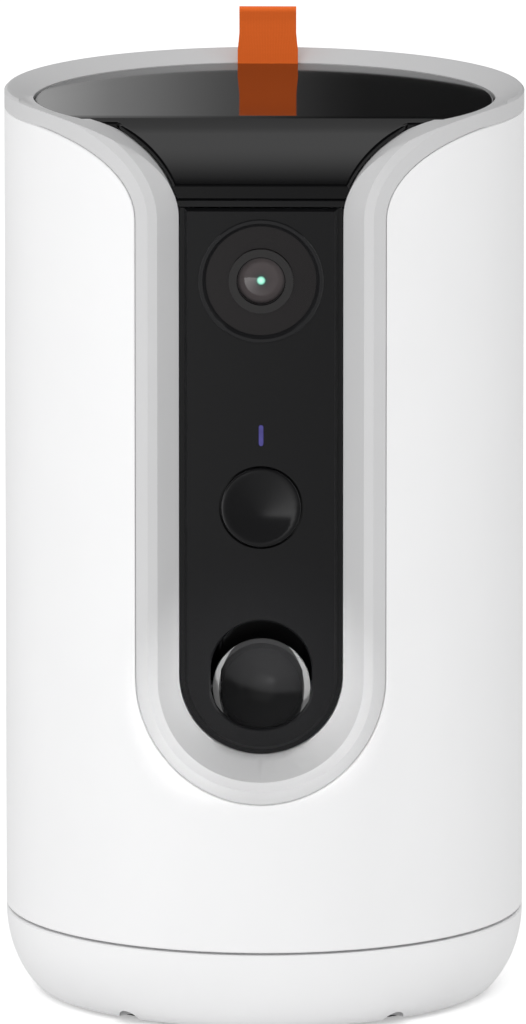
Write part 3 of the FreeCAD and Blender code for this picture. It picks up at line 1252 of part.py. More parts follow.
def front_panel():
    """Black front panel with a stepped edge and its openings."""
    face = stadium(PANEL_Y, PANEL_HALF_WIDTH, PANEL_TOP, PANEL_FACE_DEPTH)
    rim = [edge for edge in face.Edges if edge.BoundBox.YMax < PANEL_Y + PANEL_FACE_DEPTH / 2]
    face = face.makeChamfer(PANEL_CHAMFER, rim)
    flange = stadium(PANEL_Y + PANEL_FACE_DEPTH, PANEL_HALF_WIDTH + PANEL_FLANGE_GROWTH, PANEL_TOP,
                     PANEL_THICKNESS - PANEL_FACE_DEPTH)
    pegs = [rod(PANEL_PEG_RADIUS, vec(side * PANEL_PEG_X, PANEL_BACK_Y, height), Y,
                CARRIER_SPACE + CARRIER_THICKNESS)
            for side in (-1, 1) for height in PANEL_PEG_HEIGHTS]
    camera = rod(CAMERA_TRIM_RADIUS, camera_centre(PANEL_Y), Y, PANEL_THICKNESS)
    button = rod(BUTTON_RADIUS + BUTTON_GAP, vec(0, PANEL_Y, BUTTON_HEIGHT), Y, PANEL_THICKNESS)
    mouth = mouth_prism(PANEL_Y - 1, 0, PANEL_THICKNESS + 2)
    light = light_bar(PANEL_Y, LIGHT_GAP, PANEL_THICKNESS)
    whole = without(joined(face, flange, *pegs), camera, button, mouth, light)
    lips = [edge for edge in whole.Edges if is_mouth_lip(edge)]
    return whole.makeChamfer(MOUTH_CHAMFER, lips)


def is_mouth_lip(edge):
    """Whether an edge belongs to the front rim of the treat mouth."""
    limits = edge.BoundBox
    low = MOUTH_SIDE_BOTTOM - MOUTH_LOWER_DEPTH
    high = MOUTH_HEIGHT + MOUTH_RADIUS
    in_front = limits.YMax < PANEL_Y + MOUTH_CHAMFER
    inside = limits.XMax < MOUTH_RADIUS + 1 and limits.XMin > -MOUTH_RADIUS - 1
    return in_front and inside and limits.ZMin > low - 1 and limits.ZMax < high + 1


def light_bar(y, growth, length):
    """Upright bar with round ends, run along Y."""
    half = LIGHT_WIDTH / 2 + growth
    straight = (LIGHT_LENGTH - LIGHT_WIDTH) / 2
    middle = box((-half, half), (y, y + length), (LIGHT_HEIGHT - straight, LIGHT_HEIGHT + straight))
    ends = [rod(half, vec(0, y, LIGHT_HEIGHT + side * straight), Y, length) for side in (-1, 1)]
    return joined(middle, *ends)


def light_pipe():
    """Clear bar that brings the status light to the panel's face."""
    bar = light_bar(PANEL_Y, 0, LIGHT_DEPTH)
    return joined(bar, light_bar(PANEL_BACK_Y, LIGHT_FLANGE, LIGHT_DEPTH - PANEL_THICKNESS))


def front_carrier():
    """Frame behind the panel that carries the camera, the board and the toss housing."""
    plate = stadium(CARRIER_Y, CARRIER_HALF_WIDTH, CARRIER_TOP, CARRIER_THICKNESS)
    camera = rod(LAMP_BOARD_OUTER - LAMP_BOARD_REST, camera_centre(CARRIER_Y), Y, CARRIER_THICKNESS)
    room = BUTTON_RADIUS + BUTTON_FLANGE_GROWTH + MOVING_GAP
    button = rod(room, vec(0, CARRIER_Y, BUTTON_HEIGHT), Y, CARRIER_THICKNESS)
    mouth = mouth_prism(CARRIER_Y, CARRIER_MOUTH_GROWTH, CARRIER_THICKNESS)
    light = light_bar(CARRIER_Y, LIGHT_FLANGE + SLIP_GAP, CARRIER_THICKNESS)
    pegs = [rod(PANEL_PEG_RADIUS, vec(side * PANEL_PEG_X, CARRIER_Y, height), Y, CARRIER_THICKNESS)
            for side in (-1, 1) for height in PANEL_PEG_HEIGHTS]
    posts = [rod(STANDOFF_RADIUS, vec(x, CARRIER_BACK_Y, z), Y, FRONT_BOARD_Y - CARRIER_BACK_Y)
             for x, z in front_board_corners()]
    posts += [rod(STANDOFF_RADIUS, vec(x, CARRIER_BACK_Y, z), Y, camera_board_y() - CARRIER_BACK_Y)
              for x, z in camera_board_corners()]
    seats = carrier_screw_seats() + housing_screw_seats() + front_board_screw_seats()
    holes = [pilot_hole(seat, -Y) for seat in seats + camera_board_screw_seats()]
    rooms = [camera, button, mouth, light, cup_room()] + side_rooms()
    return without(joined(plate, *posts), *rooms, *pegs, *holes)


def front_board_corners():
    """Centres of the front board's four standoffs, in X and Z."""
    x = FRONT_BOARD_HALF_WIDTH - STANDOFF_RADIUS
    return [(side * x, z) for side in (-1, 1)
            for z in (FRONT_BOARD_BOTTOM + STANDOFF_RADIUS, FRONT_BOARD_TOP - STANDOFF_RADIUS)]


def front_board_screw_seats():
    """Where the front board's screw heads rest, on its rear face."""
    return [vec(x, FRONT_BOARD_Y + BOARD_THICKNESS, z) for x, z in front_board_corners()]


def camera_board_screw_seats():
    """Where the camera board's screw heads rest, on its rear face."""
    return [vec(x, camera_board_y() + BOARD_THICKNESS, z) for x, z in camera_board_corners()]


def camera_board_y():
    """Front face of the camera board."""
    return PANEL_Y - BARREL_LIP + BARREL_LENGTH + HOLDER_DEPTH


def camera_board_corners():
    """Centres of the camera board's four standoffs, in X and Z."""
    offset = CAMERA_BOARD_SIDE / 2 - STANDOFF_RADIUS
    return [(side * offset, CAMERA_HEIGHT + up * offset) for side in (-1, 1) for up in (-1, 1)]


def toss_button():
    """Front button with a shallow dish, a round edge, a keeper flange and a stem."""
    centre = vec(0, PANEL_Y - BUTTON_PROUD, BUTTON_HEIGHT)
    flange_y = PANEL_BACK_Y + SLIP_GAP
    cap = rod(BUTTON_RADIUS, centre, Y, flange_y - centre.y)
    cap = cap.makeFillet(BUTTON_EDGE_ROUND, [edge for edge in cap.Edges
                                             if edge.BoundBox.YMax < centre.y + BUTTON_PROUD / 2])
    flange = rod(BUTTON_RADIUS + BUTTON_FLANGE_GROWTH, vec(0, flange_y, BUTTON_HEIGHT), Y,
                 BUTTON_FLANGE_THICKNESS)
    stem = rod(BUTTON_STEM_RADIUS, vec(0, flange_y, BUTTON_HEIGHT), Y,
               BUTTON_FLANGE_THICKNESS + BUTTON_STEM_LENGTH)
    ball = (BUTTON_DISH_RADIUS ** 2 + BUTTON_DISH_DEPTH ** 2) / (2 * BUTTON_DISH_DEPTH)
    dish = Part.makeSphere(ball, centre + Y * (BUTTON_DISH_DEPTH - ball))
    return without(joined(cap, flange, stem), dish)


def front_board():
    """Board behind the button, with the status lamp on it."""
    half = FRONT_BOARD_HALF_WIDTH
    board = box((-half, half), (FRONT_BOARD_Y, FRONT_BOARD_Y + BOARD_THICKNESS),
                (FRONT_BOARD_BOTTOM, FRONT_BOARD_TOP))
    lamp = box((-LIGHT_FLANGE, LIGHT_FLANGE), (PANEL_Y + LIGHT_DEPTH + MOVING_GAP, FRONT_BOARD_Y),
               (LIGHT_HEIGHT - LIGHT_FLANGE, LIGHT_HEIGHT + LIGHT_FLANGE))
    return without(joined(board, lamp), *[pilot_hole(seat, -Y) for seat in front_board_screw_seats()])


def button_switch():
    """Small push switch behind the button's stem."""
    half = SWITCH_SIDE / 2
    body = box((-half, half), (FRONT_BOARD_Y - SWITCH_BODY_DEPTH, FRONT_BOARD_Y),
               (BUTTON_HEIGHT - half, BUTTON_HEIGHT + half))
    stem_end = PANEL_BACK_Y + SLIP_GAP + BUTTON_FLANGE_THICKNESS + BUTTON_STEM_LENGTH
    tip = stem_end + BUTTON_TRAVEL + SWITCH_CLEARANCE
    plunger = rod(SWITCH_PLUNGER_RADIUS, vec(0, tip, BUTTON_HEIGHT), Y, FRONT_BOARD_Y - tip)
    return joined(body, plunger)


def camera_trim():
    """Stepped ring round the camera, held behind the panel by its flange."""
    front = PANEL_Y - CAMERA_TRIM_PROUD
    points = [
        (CAMERA_TRIM_RADIUS - CAMERA_TRIM_PROUD / 2, 0),
        (CAMERA_TRIM_RADIUS, CAMERA_TRIM_PROUD / 2),
        (CAMERA_TRIM_RADIUS, PANEL_BACK_Y - front),
        (CAMERA_FLANGE_RADIUS, PANEL_BACK_Y - front),
        (CAMERA_FLANGE_RADIUS, PANEL_BACK_Y - front + CAMERA_FLANGE_THICKNESS),
        (CAMERA_TRIM_INNER, PANEL_BACK_Y - front + CAMERA_FLANGE_THICKNESS),
        (CAMERA_TRIM_INNER, CAMERA_STEP_DEPTH + CAMERA_TRIM_PROUD),
        (CAMERA_STEP_RADIUS, 0),
    ]
    return revolved(points, camera_centre(front), Y)


def infrared_window():
    """Dark ring window between the trim and the lens barrel."""
    return tube(CAMERA_TRIM_INNER, BARREL_RADIUS, camera_centre(PANEL_Y + WINDOW_RECESS), Y, WINDOW_THICKNESS)


def camera_barrel():
    """Lens barrel, a tube with a narrow front lip."""
    return tube(BARREL_RADIUS, BARREL_BORE, camera_centre(PANEL_Y - BARREL_LIP), Y, BARREL_LENGTH)


def camera_lens():
    """Front lens: a glass disc with a domed face."""
    back = PANEL_Y + LENS_RECESS + LENS_THICKNESS
    ball = (BARREL_BORE ** 2 + LENS_BULGE ** 2) / (2 * LENS_BULGE)
    disc = rod(BARREL_BORE, camera_centre(PANEL_Y + LENS_RECESS), Y, LENS_THICKNESS)
    dome = Part.makeSphere(ball, camera_centre(PANEL_Y + LENS_RECESS + ball))
    return disc.common(dome).common(box((-REACH_FAR, REACH_FAR), (-REACH_FAR, back), (0, 2 * REACH_FAR)))


def lens_holder():
    """Square foot that fixes the barrel to the camera board."""
    y = camera_board_y() - HOLDER_DEPTH
    half = HOLDER_SIDE / 2
    block = box((-half, half), (y, y + HOLDER_DEPTH), (CAMERA_HEIGHT - half, CAMERA_HEIGHT + half))
    return without(block, rod(BARREL_BORE, camera_centre(y), Y, HOLDER_DEPTH))


def camera_board():
    """Camera board with the image sensor in front."""
    y = camera_board_y()
    half = CAMERA_BOARD_SIDE / 2
    sensor = BARREL_BORE * SENSOR_SHARE
    board = box((-half, half), (y, y + BOARD_THICKNESS), (CAMERA_HEIGHT - half, CAMERA_HEIGHT + half))
    chip = box((-sensor, sensor), (y - BOARD_THICKNESS, y), (CAMERA_HEIGHT - sensor, CAMERA_HEIGHT + sensor))
    return without(joined(board, chip), *[pilot_hole(seat, -Y) for seat in camera_board_screw_seats()])


def lamp_board():
    """Ring board that carries the infrared lamps."""
    return tube(LAMP_BOARD_OUTER, LAMP_BOARD_INNER, camera_centre(CARRIER_BACK_Y), Y, BOARD_THICKNESS)


def infrared_lamps():
    """Ring of domed lamps behind the dark window."""
    lamps = []
    for index in range(LAMP_COUNT):
        place = polar(LAMP_CIRCLE, 360 * (index + 0.5) / LAMP_COUNT)
        foot = vec(place.x, CARRIER_BACK_Y, CAMERA_HEIGHT + place.y)
        straight = LAMP_HEIGHT - LAMP_RADIUS
        stem = rod(LAMP_RADIUS, foot, -Y, straight)
        lamps.append(joined(stem, Part.makeSphere(LAMP_RADIUS, foot - Y * straight)).common(
            rod(2 * LAMP_RADIUS, foot, -Y, LAMP_HEIGHT)))
    return lamps


def frame_screw_places():
    """Where the frame stands on the base, in X and Y."""
    return [(side * FRAME_SCREW_X, y) for side in (-1, 1) for y in FRAME_SCREW_YS]


def frame_screw_seats():
    """Where the frame's screw heads rest."""
    return [vec(x, y, FRAME_BOTTOM + FRAME_THICKNESS) for x, y in frame_screw_places()]


def board_screw_seats():
    """Where the main board's screw heads rest, on its rear face."""
    return [vec(side * BOARD_SCREW_X, BOARD_REAR_Y, height)
            for side in (-1, 1) for height in BOARD_SCREW_HEIGHTS]


def inner_frame():
    """Frame on the base: a floor, a rear wall for the main board, and two wings for the speakers."""
    half = FRAME_HALF_WIDTH
    floor = box((-half, half), (FRAME_FRONT_Y, FRAME_REAR_Y), (FRAME_BOTTOM, FRAME_BOTTOM + FRAME_THICKNESS))
    gap = FRAME_WINDOW_MARGIN
    window = box((gap - half, half - gap), (FRAME_FRONT_Y + gap, FRAME_REAR_Y - gap), (0, REACH_FAR))
    wall_half = BOARD_HALF_WIDTH
    wall = box((-wall_half, wall_half), (FRAME_REAR_Y - FRAME_THICKNESS, FRAME_REAR_Y),
               (FRAME_BOTTOM, FRAME_TOP))
    low_wall = box((-half, half), (FRAME_REAR_Y - FRAME_THICKNESS, FRAME_REAR_Y), (FRAME_BOTTOM, WING_TOP))
    pieces = [without(floor, window), wall, low_wall]
    cuts = []
    for side in (-1, 1):
        inner, outer = sorted((side * (half - FRAME_THICKNESS), side * half))
        pieces.append(box((inner, outer), (FRAME_FRONT_Y, FRAME_REAR_Y), (FRAME_BOTTOM, WING_TOP)))
        cuts.append(rod(SPEAKER_BASKET_RADIUS + SLIP_GAP, speaker_point(side, half - FRAME_THICKNESS), X * side,
                        FRAME_THICKNESS))
    for seat in board_screw_seats():
        pieces.append(rod(STANDOFF_RADIUS * 1.4, vec(seat.x, FRAME_REAR_Y, seat.z), Y, BOARD_Y - FRAME_REAR_Y))
        cuts.append(pilot_hole(seat, -Y))
    cuts += [pilot_hole(seat, -Z) for seat in frame_screw_seats()]
    return without(joined(*pieces), *cuts)


def main_board():
    """Main circuit board with its capacitors and the reset switch."""
    half = BOARD_HALF_WIDTH
    board = box((-half, half), (BOARD_Y, BOARD_REAR_Y), (BOARD_BOTTOM, BOARD_TOP))
    caps = [rod(CAPACITOR_RADIUS, vec(side * CAPACITOR_X, BOARD_REAR_Y, CAPACITOR_HEIGHT), Y, CAPACITOR_LENGTH)
            for side in (-1, 1)]
    side = RESET_SWITCH_SIDE / 2
    switch = box((-side, side), (BOARD_REAR_Y, BOARD_REAR_Y + RESET_SWITCH_DEPTH),
                 (RESET_HEIGHT - side, RESET_HEIGHT + side))
    return without(joined(board, switch, *caps), *[pilot_hole(seat, -Y) for seat in board_screw_seats()])


def radio_shield():
    """Shielded radio module on the main board."""
    wide, deep, tall = SHIELD_SIZE
    return box((-wide / 2, wide / 2), (BOARD_REAR_Y, BOARD_REAR_Y + deep),
               (SHIELD_HEIGHT - tall / 2, SHIELD_HEIGHT + tall / 2))


def power_inlet():
    """Round power socket: a body on the board, a nose in the shell's hole, and a centre pin."""
    half = INLET_WIDTH / 2
    body = box((-half, half), (BOARD_REAR_Y, INLET_BODY_END),
               (INLET_HEIGHT - INLET_TALL / 2, INLET_HEIGHT + INLET_TALL / 2))
    start = vec(0, BOARD_REAR_Y, INLET_HEIGHT)
    nose = rod(INLET_NOSE_RADIUS, start, Y, INLET_NOSE_END - BOARD_REAR_Y)
    bottom = INLET_NOSE_END - INLET_BORE_DEPTH
    bore = rod(INLET_BORE, vec(0, bottom, INLET_HEIGHT), Y, INLET_BORE_DEPTH)
    pin = rod(INLET_PIN_RADIUS, start, Y, INLET_NOSE_END - 1 - BOARD_REAR_Y)
    return joined(without(joined(body, nose), bore), pin)


def reset_button():
    """Rear reset button with its keeper flange and stem."""
    flange_end = math.sqrt(SHELL_INNER ** 2 - RESET_FLANGE_RADIUS ** 2) - SHELL_CURVE_ROOM
    start = vec(0, flange_end - RESET_FLANGE_THICKNESS, RESET_HEIGHT)
    cap = rod(RESET_RADIUS, start, Y, BODY_RADIUS - RESET_PROUD / 2 - start.y)
    flange = rod(RESET_FLANGE_RADIUS, start, Y, RESET_FLANGE_THICKNESS)
    stem = rod(RESET_STEM_RADIUS, vec(0, RESET_STEM_END, RESET_HEIGHT), Y, start.y - RESET_STEM_END)
    return joined(cap, flange, stem)


def speaker_point(side, distance):
    """Point on a speaker's axis."""
    return vec(side * distance, SPEAKER_Y, SPEAKER_HEIGHT)


def speaker(side):
    """Speaker frame and magnet, facing sideways."""
    out = X * side
    mouth = speaker_point(side, FRAME_HALF_WIDTH)
    back = mouth - out * SPEAKER_DEPTH
    flange = rod(SPEAKER_FLANGE_RADIUS, mouth, out, SPEAKER_FLANGE_THICKNESS)
    basket = Part.makeCone(SPEAKER_THROAT_RADIUS, SPEAKER_BASKET_RADIUS, SPEAKER_DEPTH, back, out)
    magnet = rod(SPEAKER_MAGNET_RADIUS, back - out * SPEAKER_MAGNET_DEPTH, out, SPEAKER_MAGNET_DEPTH)
    hollow = Part.makeCone(SPEAKER_THROAT_RADIUS - SPEAKER_WALL, SPEAKER_BASKET_RADIUS - SPEAKER_WALL,
                           SPEAKER_DEPTH, back + out * SPEAKER_WALL, out)
    front = rod(SPEAKER_BASKET_RADIUS - SPEAKER_WALL, mouth, out, SPEAKER_DEPTH)
    return without(joined(flange, basket, magnet), hollow, front)


def speaker_cone(side):
    """Thin speaker cone with a closed middle, and the ring that holds it in the speaker's mouth."""
    out = X * side
    low = speaker_point(side, FRAME_HALF_WIDTH - CONE_DEPTH + CONE_WALL)
    outer = Part.makeCone(CONE_THROAT_RADIUS, CONE_RIM_RADIUS, CONE_DEPTH, low, out)
    ring = rod(SPEAKER_BASKET_RADIUS - SPEAKER_WALL, speaker_point(side, FRAME_HALF_WIDTH), out, CONE_WALL)
    inner = Part.makeCone(CONE_THROAT_RADIUS, CONE_RIM_RADIUS, CONE_DEPTH, low + out * CONE_WALL, out)
    return without(joined(outer, ring), inner)


def short_screws():
    """All short screws: carrier, toss housing, hopper lugs, frame and boards."""
    lug_seats = lug_points(METER_TOP - METER_FLOOR)
    screws = [short_screw(seat, -Y) for seat in carrier_screw_seats() + housing_screw_seats()]
    screws += [short_screw(seat, Z) for seat in lug_seats]
    screws += [short_screw(seat, -Z) for seat in frame_screw_seats()]
    screws += [short_screw(seat, -Y) for seat in board_screw_seats() + front_board_screw_seats()]
    screws += [short_screw(seat, -Y) for seat in camera_board_screw_seats()]
    return screws


save("body_shell", body_shell())
save("trim_liner", trim_liner())
save("base_shell", base_shell())
save("base_screws", *base_screws())
save("foot_ring", foot_ring())
save("ballast_plate", ballast_plate())
save("lid", lid())
save("lid_plug", lid_plug())
save("lid_seal", lid_seal())
save("lid_tab", lid_tab())
save("tab_clamp", tab_clamp())
save("tab_screws", *tab_screws())
save("front_panel", front_panel())
save("front_carrier", front_carrier())
save("camera_bay_cover", camera_bay_cover())
save("camera_trim", camera_trim())
save("infrared_window", infrared_window())
save("camera_barrel", camera_barrel())
save("camera_lens", camera_lens())
save("lens_holder", lens_holder())
save("camera_board", camera_board())
save("lamp_board", lamp_board())
save("infrared_lamps", *infrared_lamps())
save("light_pipe", light_pipe())
save("toss_button", toss_button())
save("front_board", front_board())
save("button_switch", button_switch())
save("hopper", hopper())
save("treat_guard", treat_guard())
save("metering_housing", metering_housing())
save("metering_rotor", metering_rotor())
save("rotor_shaft", rotor_shaft())
save("rotor_gear", rotor_gear())
save("rotor_pinion", rotor_pinion())
save("metering_bracket", metering_bracket())
METER_GEARBOX, METER_MOTOR = gear_motor(vec(0, PINION_Y, BRACKET_TOP - MOTOR_PLATE_WALL), -Z, X, Y)
save("metering_gearbox", METER_GEARBOX)
save("metering_motor", METER_MOTOR)
save("drop_chute", drop_chute())
save("toss_housing", toss_housing())
save("toss_cup", toss_cup())
save("cup_pin_left", cup_pin(-1, spring_end() + MOVING_GAP + COLLAR_WIDTH))
save("cup_pin_right", cup_pin(1, GEAR_X + COCKING_GEAR_WIDTH))
save("cup_gear", cup_gear())
save("cup_spring", cup_spring())
save("spring_collar", spring_collar())
save("drive_gear", drive_gear())
save("drive_shaft", drive_shaft())
TOSS_GEARBOX, TOSS_MOTOR = gear_motor(DRIVE_CENTRE + X * HOUSING_HALF_WIDTH, -X, Y, Z)
save("toss_gearbox", TOSS_GEARBOX)
save("toss_motor", TOSS_MOTOR)
save("inner_frame", inner_frame())
save("main_board", main_board())
save("radio_shield", radio_shield())
save("power_inlet", power_inlet())
save("reset_button", reset_button())
save("left_speaker", speaker(-1))
save("right_speaker", speaker(1))
save("speaker_cones", speaker_cone(-1), speaker_cone(1))
save("short_screws", *short_screws())
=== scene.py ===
"""The looks of an upright treat tossing camera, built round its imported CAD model."""

import json
import logging
import math
from collections.abc import Sequence
from dataclasses import dataclass
from enum import Enum
from typing import Protocol

import bpy
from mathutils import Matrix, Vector

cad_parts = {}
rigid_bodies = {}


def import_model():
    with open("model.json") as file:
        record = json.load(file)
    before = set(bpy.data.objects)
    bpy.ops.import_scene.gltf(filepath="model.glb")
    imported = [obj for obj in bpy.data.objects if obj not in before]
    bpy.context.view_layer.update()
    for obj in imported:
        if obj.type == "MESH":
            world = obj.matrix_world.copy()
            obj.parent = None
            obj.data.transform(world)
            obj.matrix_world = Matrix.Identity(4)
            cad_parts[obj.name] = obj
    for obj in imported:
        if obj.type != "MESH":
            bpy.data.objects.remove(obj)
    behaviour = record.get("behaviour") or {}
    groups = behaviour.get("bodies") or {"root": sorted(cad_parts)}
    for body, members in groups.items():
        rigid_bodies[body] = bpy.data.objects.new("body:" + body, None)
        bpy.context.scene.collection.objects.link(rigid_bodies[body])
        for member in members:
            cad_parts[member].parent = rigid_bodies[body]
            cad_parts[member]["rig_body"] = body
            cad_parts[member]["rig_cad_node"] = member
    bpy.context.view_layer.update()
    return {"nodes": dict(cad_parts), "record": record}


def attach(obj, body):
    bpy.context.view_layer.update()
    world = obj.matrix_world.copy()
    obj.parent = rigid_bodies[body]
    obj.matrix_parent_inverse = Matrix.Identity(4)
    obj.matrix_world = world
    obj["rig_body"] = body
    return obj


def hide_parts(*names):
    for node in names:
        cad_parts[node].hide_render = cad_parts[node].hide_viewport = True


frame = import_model()

LOG = logging.getLogger("treat_camera")
MM = 0.001
MERGE_DISTANCE = 2e-6
SMOOTH_ANGLE = 28.0
RIBBON_SMOOTH_ANGLE = 45.0
FLAT_FACE_WEIGHT = 100
QUARTER_TURN = math.radians(90)
LONG_GRAIN = 0.03
BROAD_PATCH = 18 * MM
RAMP_LOW, RAMP_HIGH = 0.3, 0.7

Colour = tuple[float, float, float]
Point = tuple[float, float, float]


class Body(Enum):
    """The moving bodies that pieces ride on."""

    CASE = "body"
    LID = "lid"
    TOSS_BUTTON = "toss_button"
    RESET_BUTTON = "reset_button"
    CUP = "toss_cup"
    DRIVE_GEAR = "drive_gear"
    WHEEL = "metering_rotor"
    PINION = "rotor_pinion"


class Grain(Enum):
    """How the fine relief of a surface runs."""

    EVEN = "even"
    ALONG_X = "along_x"
    ALONG_Z = "along_z"


class Axis(Enum):
    """An axis of the shared frame, which a card faces or its brightness runs along."""

    X = "X"
    Y = "Y"
    Z = "Z"


class Finish(Protocol):
    """What every finish has: a name, and a method that makes its material."""

    name: str

    def build(self) -> bpy.types.Material:
        """Make the material."""


@dataclass(frozen=True)
class Card:
    """A glowing rectangle that only mirror reflections see, with a brightness that runs along an axis.

    Attributes:
        name: Its name.
        low: Its corner with the lowest coordinates.
        high: Its opposite corner.
        facing: The axis that it faces.
        along: The axis that its brightness runs along.
        stops: (place on that axis, brightness) of each stop of the run.
        strength: What every brightness is multiplied by.
    """

    name: str
    low: Point
    high: Point
    facing: Axis
    along: Axis
    stops: tuple[tuple[float, float], ...]
    strength: float = 1.0


class NodeSheet:
    """A material's node tree, with short calls for its nodes and links."""

    def __init__(self, name: str) -> None:
        """Start a material that has one shader.

        Args:
            name: The material's name.
        """
        self.material = bpy.data.materials.new(name)
        self.material.use_nodes = True
        self.tree = self.material.node_tree
        self.shader = self.tree.nodes["Principled BSDF"]
        self.place = self.add("ShaderNodeTexCoord").outputs["Object"]

    def add(self, kind: str, **values: object) -> bpy.types.Node:
        """Add a node and set its input sockets.

        Args:
            kind: The node's type name.
            values: Socket values, with _ for a space in the socket's name.

        Returns:
            The new node.
        """
        node = self.tree.nodes.new(kind)
        for key, value in values.items():
            node.inputs[key.replace("_", " ")].default_value = value
        return node

    def link(self, start: bpy.types.NodeSocket, end: bpy.types.NodeSocket) -> None:
        """Join an output socket to an input socket."""
        self.tree.links.new(start, end)

    def set(self, **values: object) -> None:
        """Set constants on the shader's own sockets."""
        for key, value in values.items():
            self.shader.inputs[key.replace("_", " ")].default_value = value

    def stretched(self, grain: Grain) -> bpy.types.NodeSocket:
        """The object's coordinates, drawn out along the grain's direction.

        Args:
            grain: How the relief runs.

        Returns:
            A vector output.
        """
        scales = {
            Grain.EVEN: (1, 1, 1),
            Grain.ALONG_X: (LONG_GRAIN, 1, 1),
            Grain.ALONG_Z: (1, 1, LONG_GRAIN),
        }
        mapping = self.add("ShaderNodeMapping", Scale=scales[grain])
        self.link(self.place, mapping.inputs["Vector"])
        return mapping.outputs["Vector"]

    def noise(self, size: float, vector: bpy.types.NodeSocket,
              detail: float = 2.0) -> bpy.types.NodeSocket:
        """Noise whose features have a size in metres.

        Args:
            size: The features' size.
            vector: The coordinates.
            detail: How many finer levels it has.

        Returns:
            The noise's value.
        """
        node = self.add("ShaderNodeTexNoise", Scale=1 / size, Detail=detail)
        self.link(vector, node.inputs["Vector"])
        return node.outputs["Fac"]

    def mapped(self, value: bpy.types.NodeSocket, low: float, high: float) -> bpy.types.NodeSocket:
        """A value from 0 to 1 brought to another range.

        Args:
            value: The value.
            low: What 0 becomes.
            high: What 1 becomes.

        Returns:
            The new value.
        """
        node = self.add("ShaderNodeMapRange", To_Min=low, To_Max=high)
        self.link(value, node.inputs["Value"])
        return node.outputs["Result"]

    def ramped(self, value: bpy.types.NodeSocket,
               stops: Sequence[tuple[float, Colour]]) -> bpy.types.NodeSocket:
        """A colour that runs through stops as a value rises.

        Args:
            value: The value, from 0 to 1.
            stops: (value, colour) of each stop, in order.

        Returns:
            The colour.
        """
        node = self.add("ShaderNodeValToRGB")
        elements = node.color_ramp.elements
        while len(elements) < len(stops):
            elements.new(0.5)
        for element, (place, colour) in zip(elements, stops):
            element.position = place
            element.color = (*colour, 1)
        self.link(value, node.inputs["Fac"])
        return node.outputs["Color"]

    def shaded(self, value: bpy.types.NodeSocket, dark: Colour, light: Colour) -> bpy.types.NodeSocket:
        """A colour that runs between two over the middle of a value's range.

        Args:
            value: The value, from 0 to 1.
            dark: The colour of low values.
            light: The colour of high values.

        Returns:
            The colour.
        """
        return self.ramped(value, ((RAMP_LOW, dark), (RAMP_HIGH, light)))

    def oval(self, centre: Point, half_width: float, half_height: float) -> bpy.types.NodeSocket:
        """How far a point lies from an axis along Y, where 1 is on an oval round it.

        Args:
            centre: A point on the axis.
            half_width: The oval's half size along X.
            half_height: The oval's half size along Z.

        Returns:
            The distance, as a share of the oval's.
        """
        scale = (1 / half_width, 0, 1 / half_height)
        shift = (-centre[0] / half_width, 0, -centre[2] / half_height)
        mapping = self.add("ShaderNodeMapping", Location=shift, Scale=scale)
        self.link(self.place, mapping.inputs["Vector"])
        distance = self.add("ShaderNodeVectorMath")
        distance.operation = "LENGTH"
        self.link(mapping.outputs["Vector"], distance.inputs[0])
        return distance.outputs["Value"]

    def combined(self, operation: str, first: bpy.types.NodeSocket,
                 second: bpy.types.NodeSocket) -> bpy.types.NodeSocket:
        """Two values brought together.

        Args:
            operation: The math node's operation.
            first: One value.
            second: The other value.

        Returns:
            The outcome.
        """
        node = self.add("ShaderNodeMath")
        node.operation = operation
        self.link(first, node.inputs[0])
        self.link(second, node.inputs[1])
        return node.outputs["Value"]

    def colour(self, colour: bpy.types.NodeSocket) -> None:
        """Give the shader its base colour."""
        self.link(colour, self.shader.inputs["Base Color"])

    def glow(self, colour: bpy.types.NodeSocket) -> None:
        """Give the shader its emission colour."""
        self.link(colour, self.shader.inputs["Emission Color"])

    def gloss(self, value: bpy.types.NodeSocket, low: float, high: float) -> None:
        """Let the shader's roughness run between two as a value rises."""
        self.link(self.mapped(value, low, high), self.shader.inputs["Roughness"])

    def relief(self, height: bpy.types.NodeSocket, depth: float, strength: float) -> None:
        """Give the shader a bump.

        Args:
            height: The relief's height, from 0 to 1.
            depth: Its real depth in metres.
            strength: The share of it that shows.
        """
        node = self.add("ShaderNodeBump", Strength=strength, Distance=depth)
        self.link(height, node.inputs["Height"])
        self.link(node.outputs["Normal"], self.shader.inputs["Normal"])


def scaled(colour: Colour, share: float) -> Colour:
    """A colour made darker or lighter by a share."""
    return tuple(min(1.0, part * share) for part in colour)


@dataclass(frozen=True)
class Moulding:
    """A moulded, cast or pressed finish: base colour, gloss, grain and slight unevenness."""

    name: str
    colour: Colour
    roughness: float = 0.35
    metallic: float = 0.0
    coat: float = 0.0
    specular: float = 0.5
    grain: Grain = Grain.EVEN
    grain_size: float = 0.35 * MM
    grain_depth: float = 0.006 * MM
    relief: float = 0.25
    shade_spread: float = 0.03
    gloss_spread: float = 0.05
    coat_roughness: float = 0.04
    least_roughness: float = 0.02

    def build(self) -> bpy.types.Material:
        """Make the material.

        Returns:
            The material.
        """
        sheet = NodeSheet(self.name)
        sheet.set(Metallic=self.metallic, Specular_IOR_Level=self.specular)
        sheet.set(Coat_Weight=self.coat, Coat_Roughness=self.coat_roughness)
        fine = sheet.noise(self.grain_size, sheet.stretched(self.grain), 3.0)
        broad = sheet.noise(BROAD_PATCH, sheet.place)
        sheet.colour(sheet.shaded(broad, scaled(self.colour, 1 - self.shade_spread), self.colour))
        lowest = max(self.least_roughness, self.roughness - self.gloss_spread)
        sheet.gloss(fine, lowest, self.roughness + self.gloss_spread)
        sheet.relief(fine, self.grain_depth, self.relief)
        return sheet.material


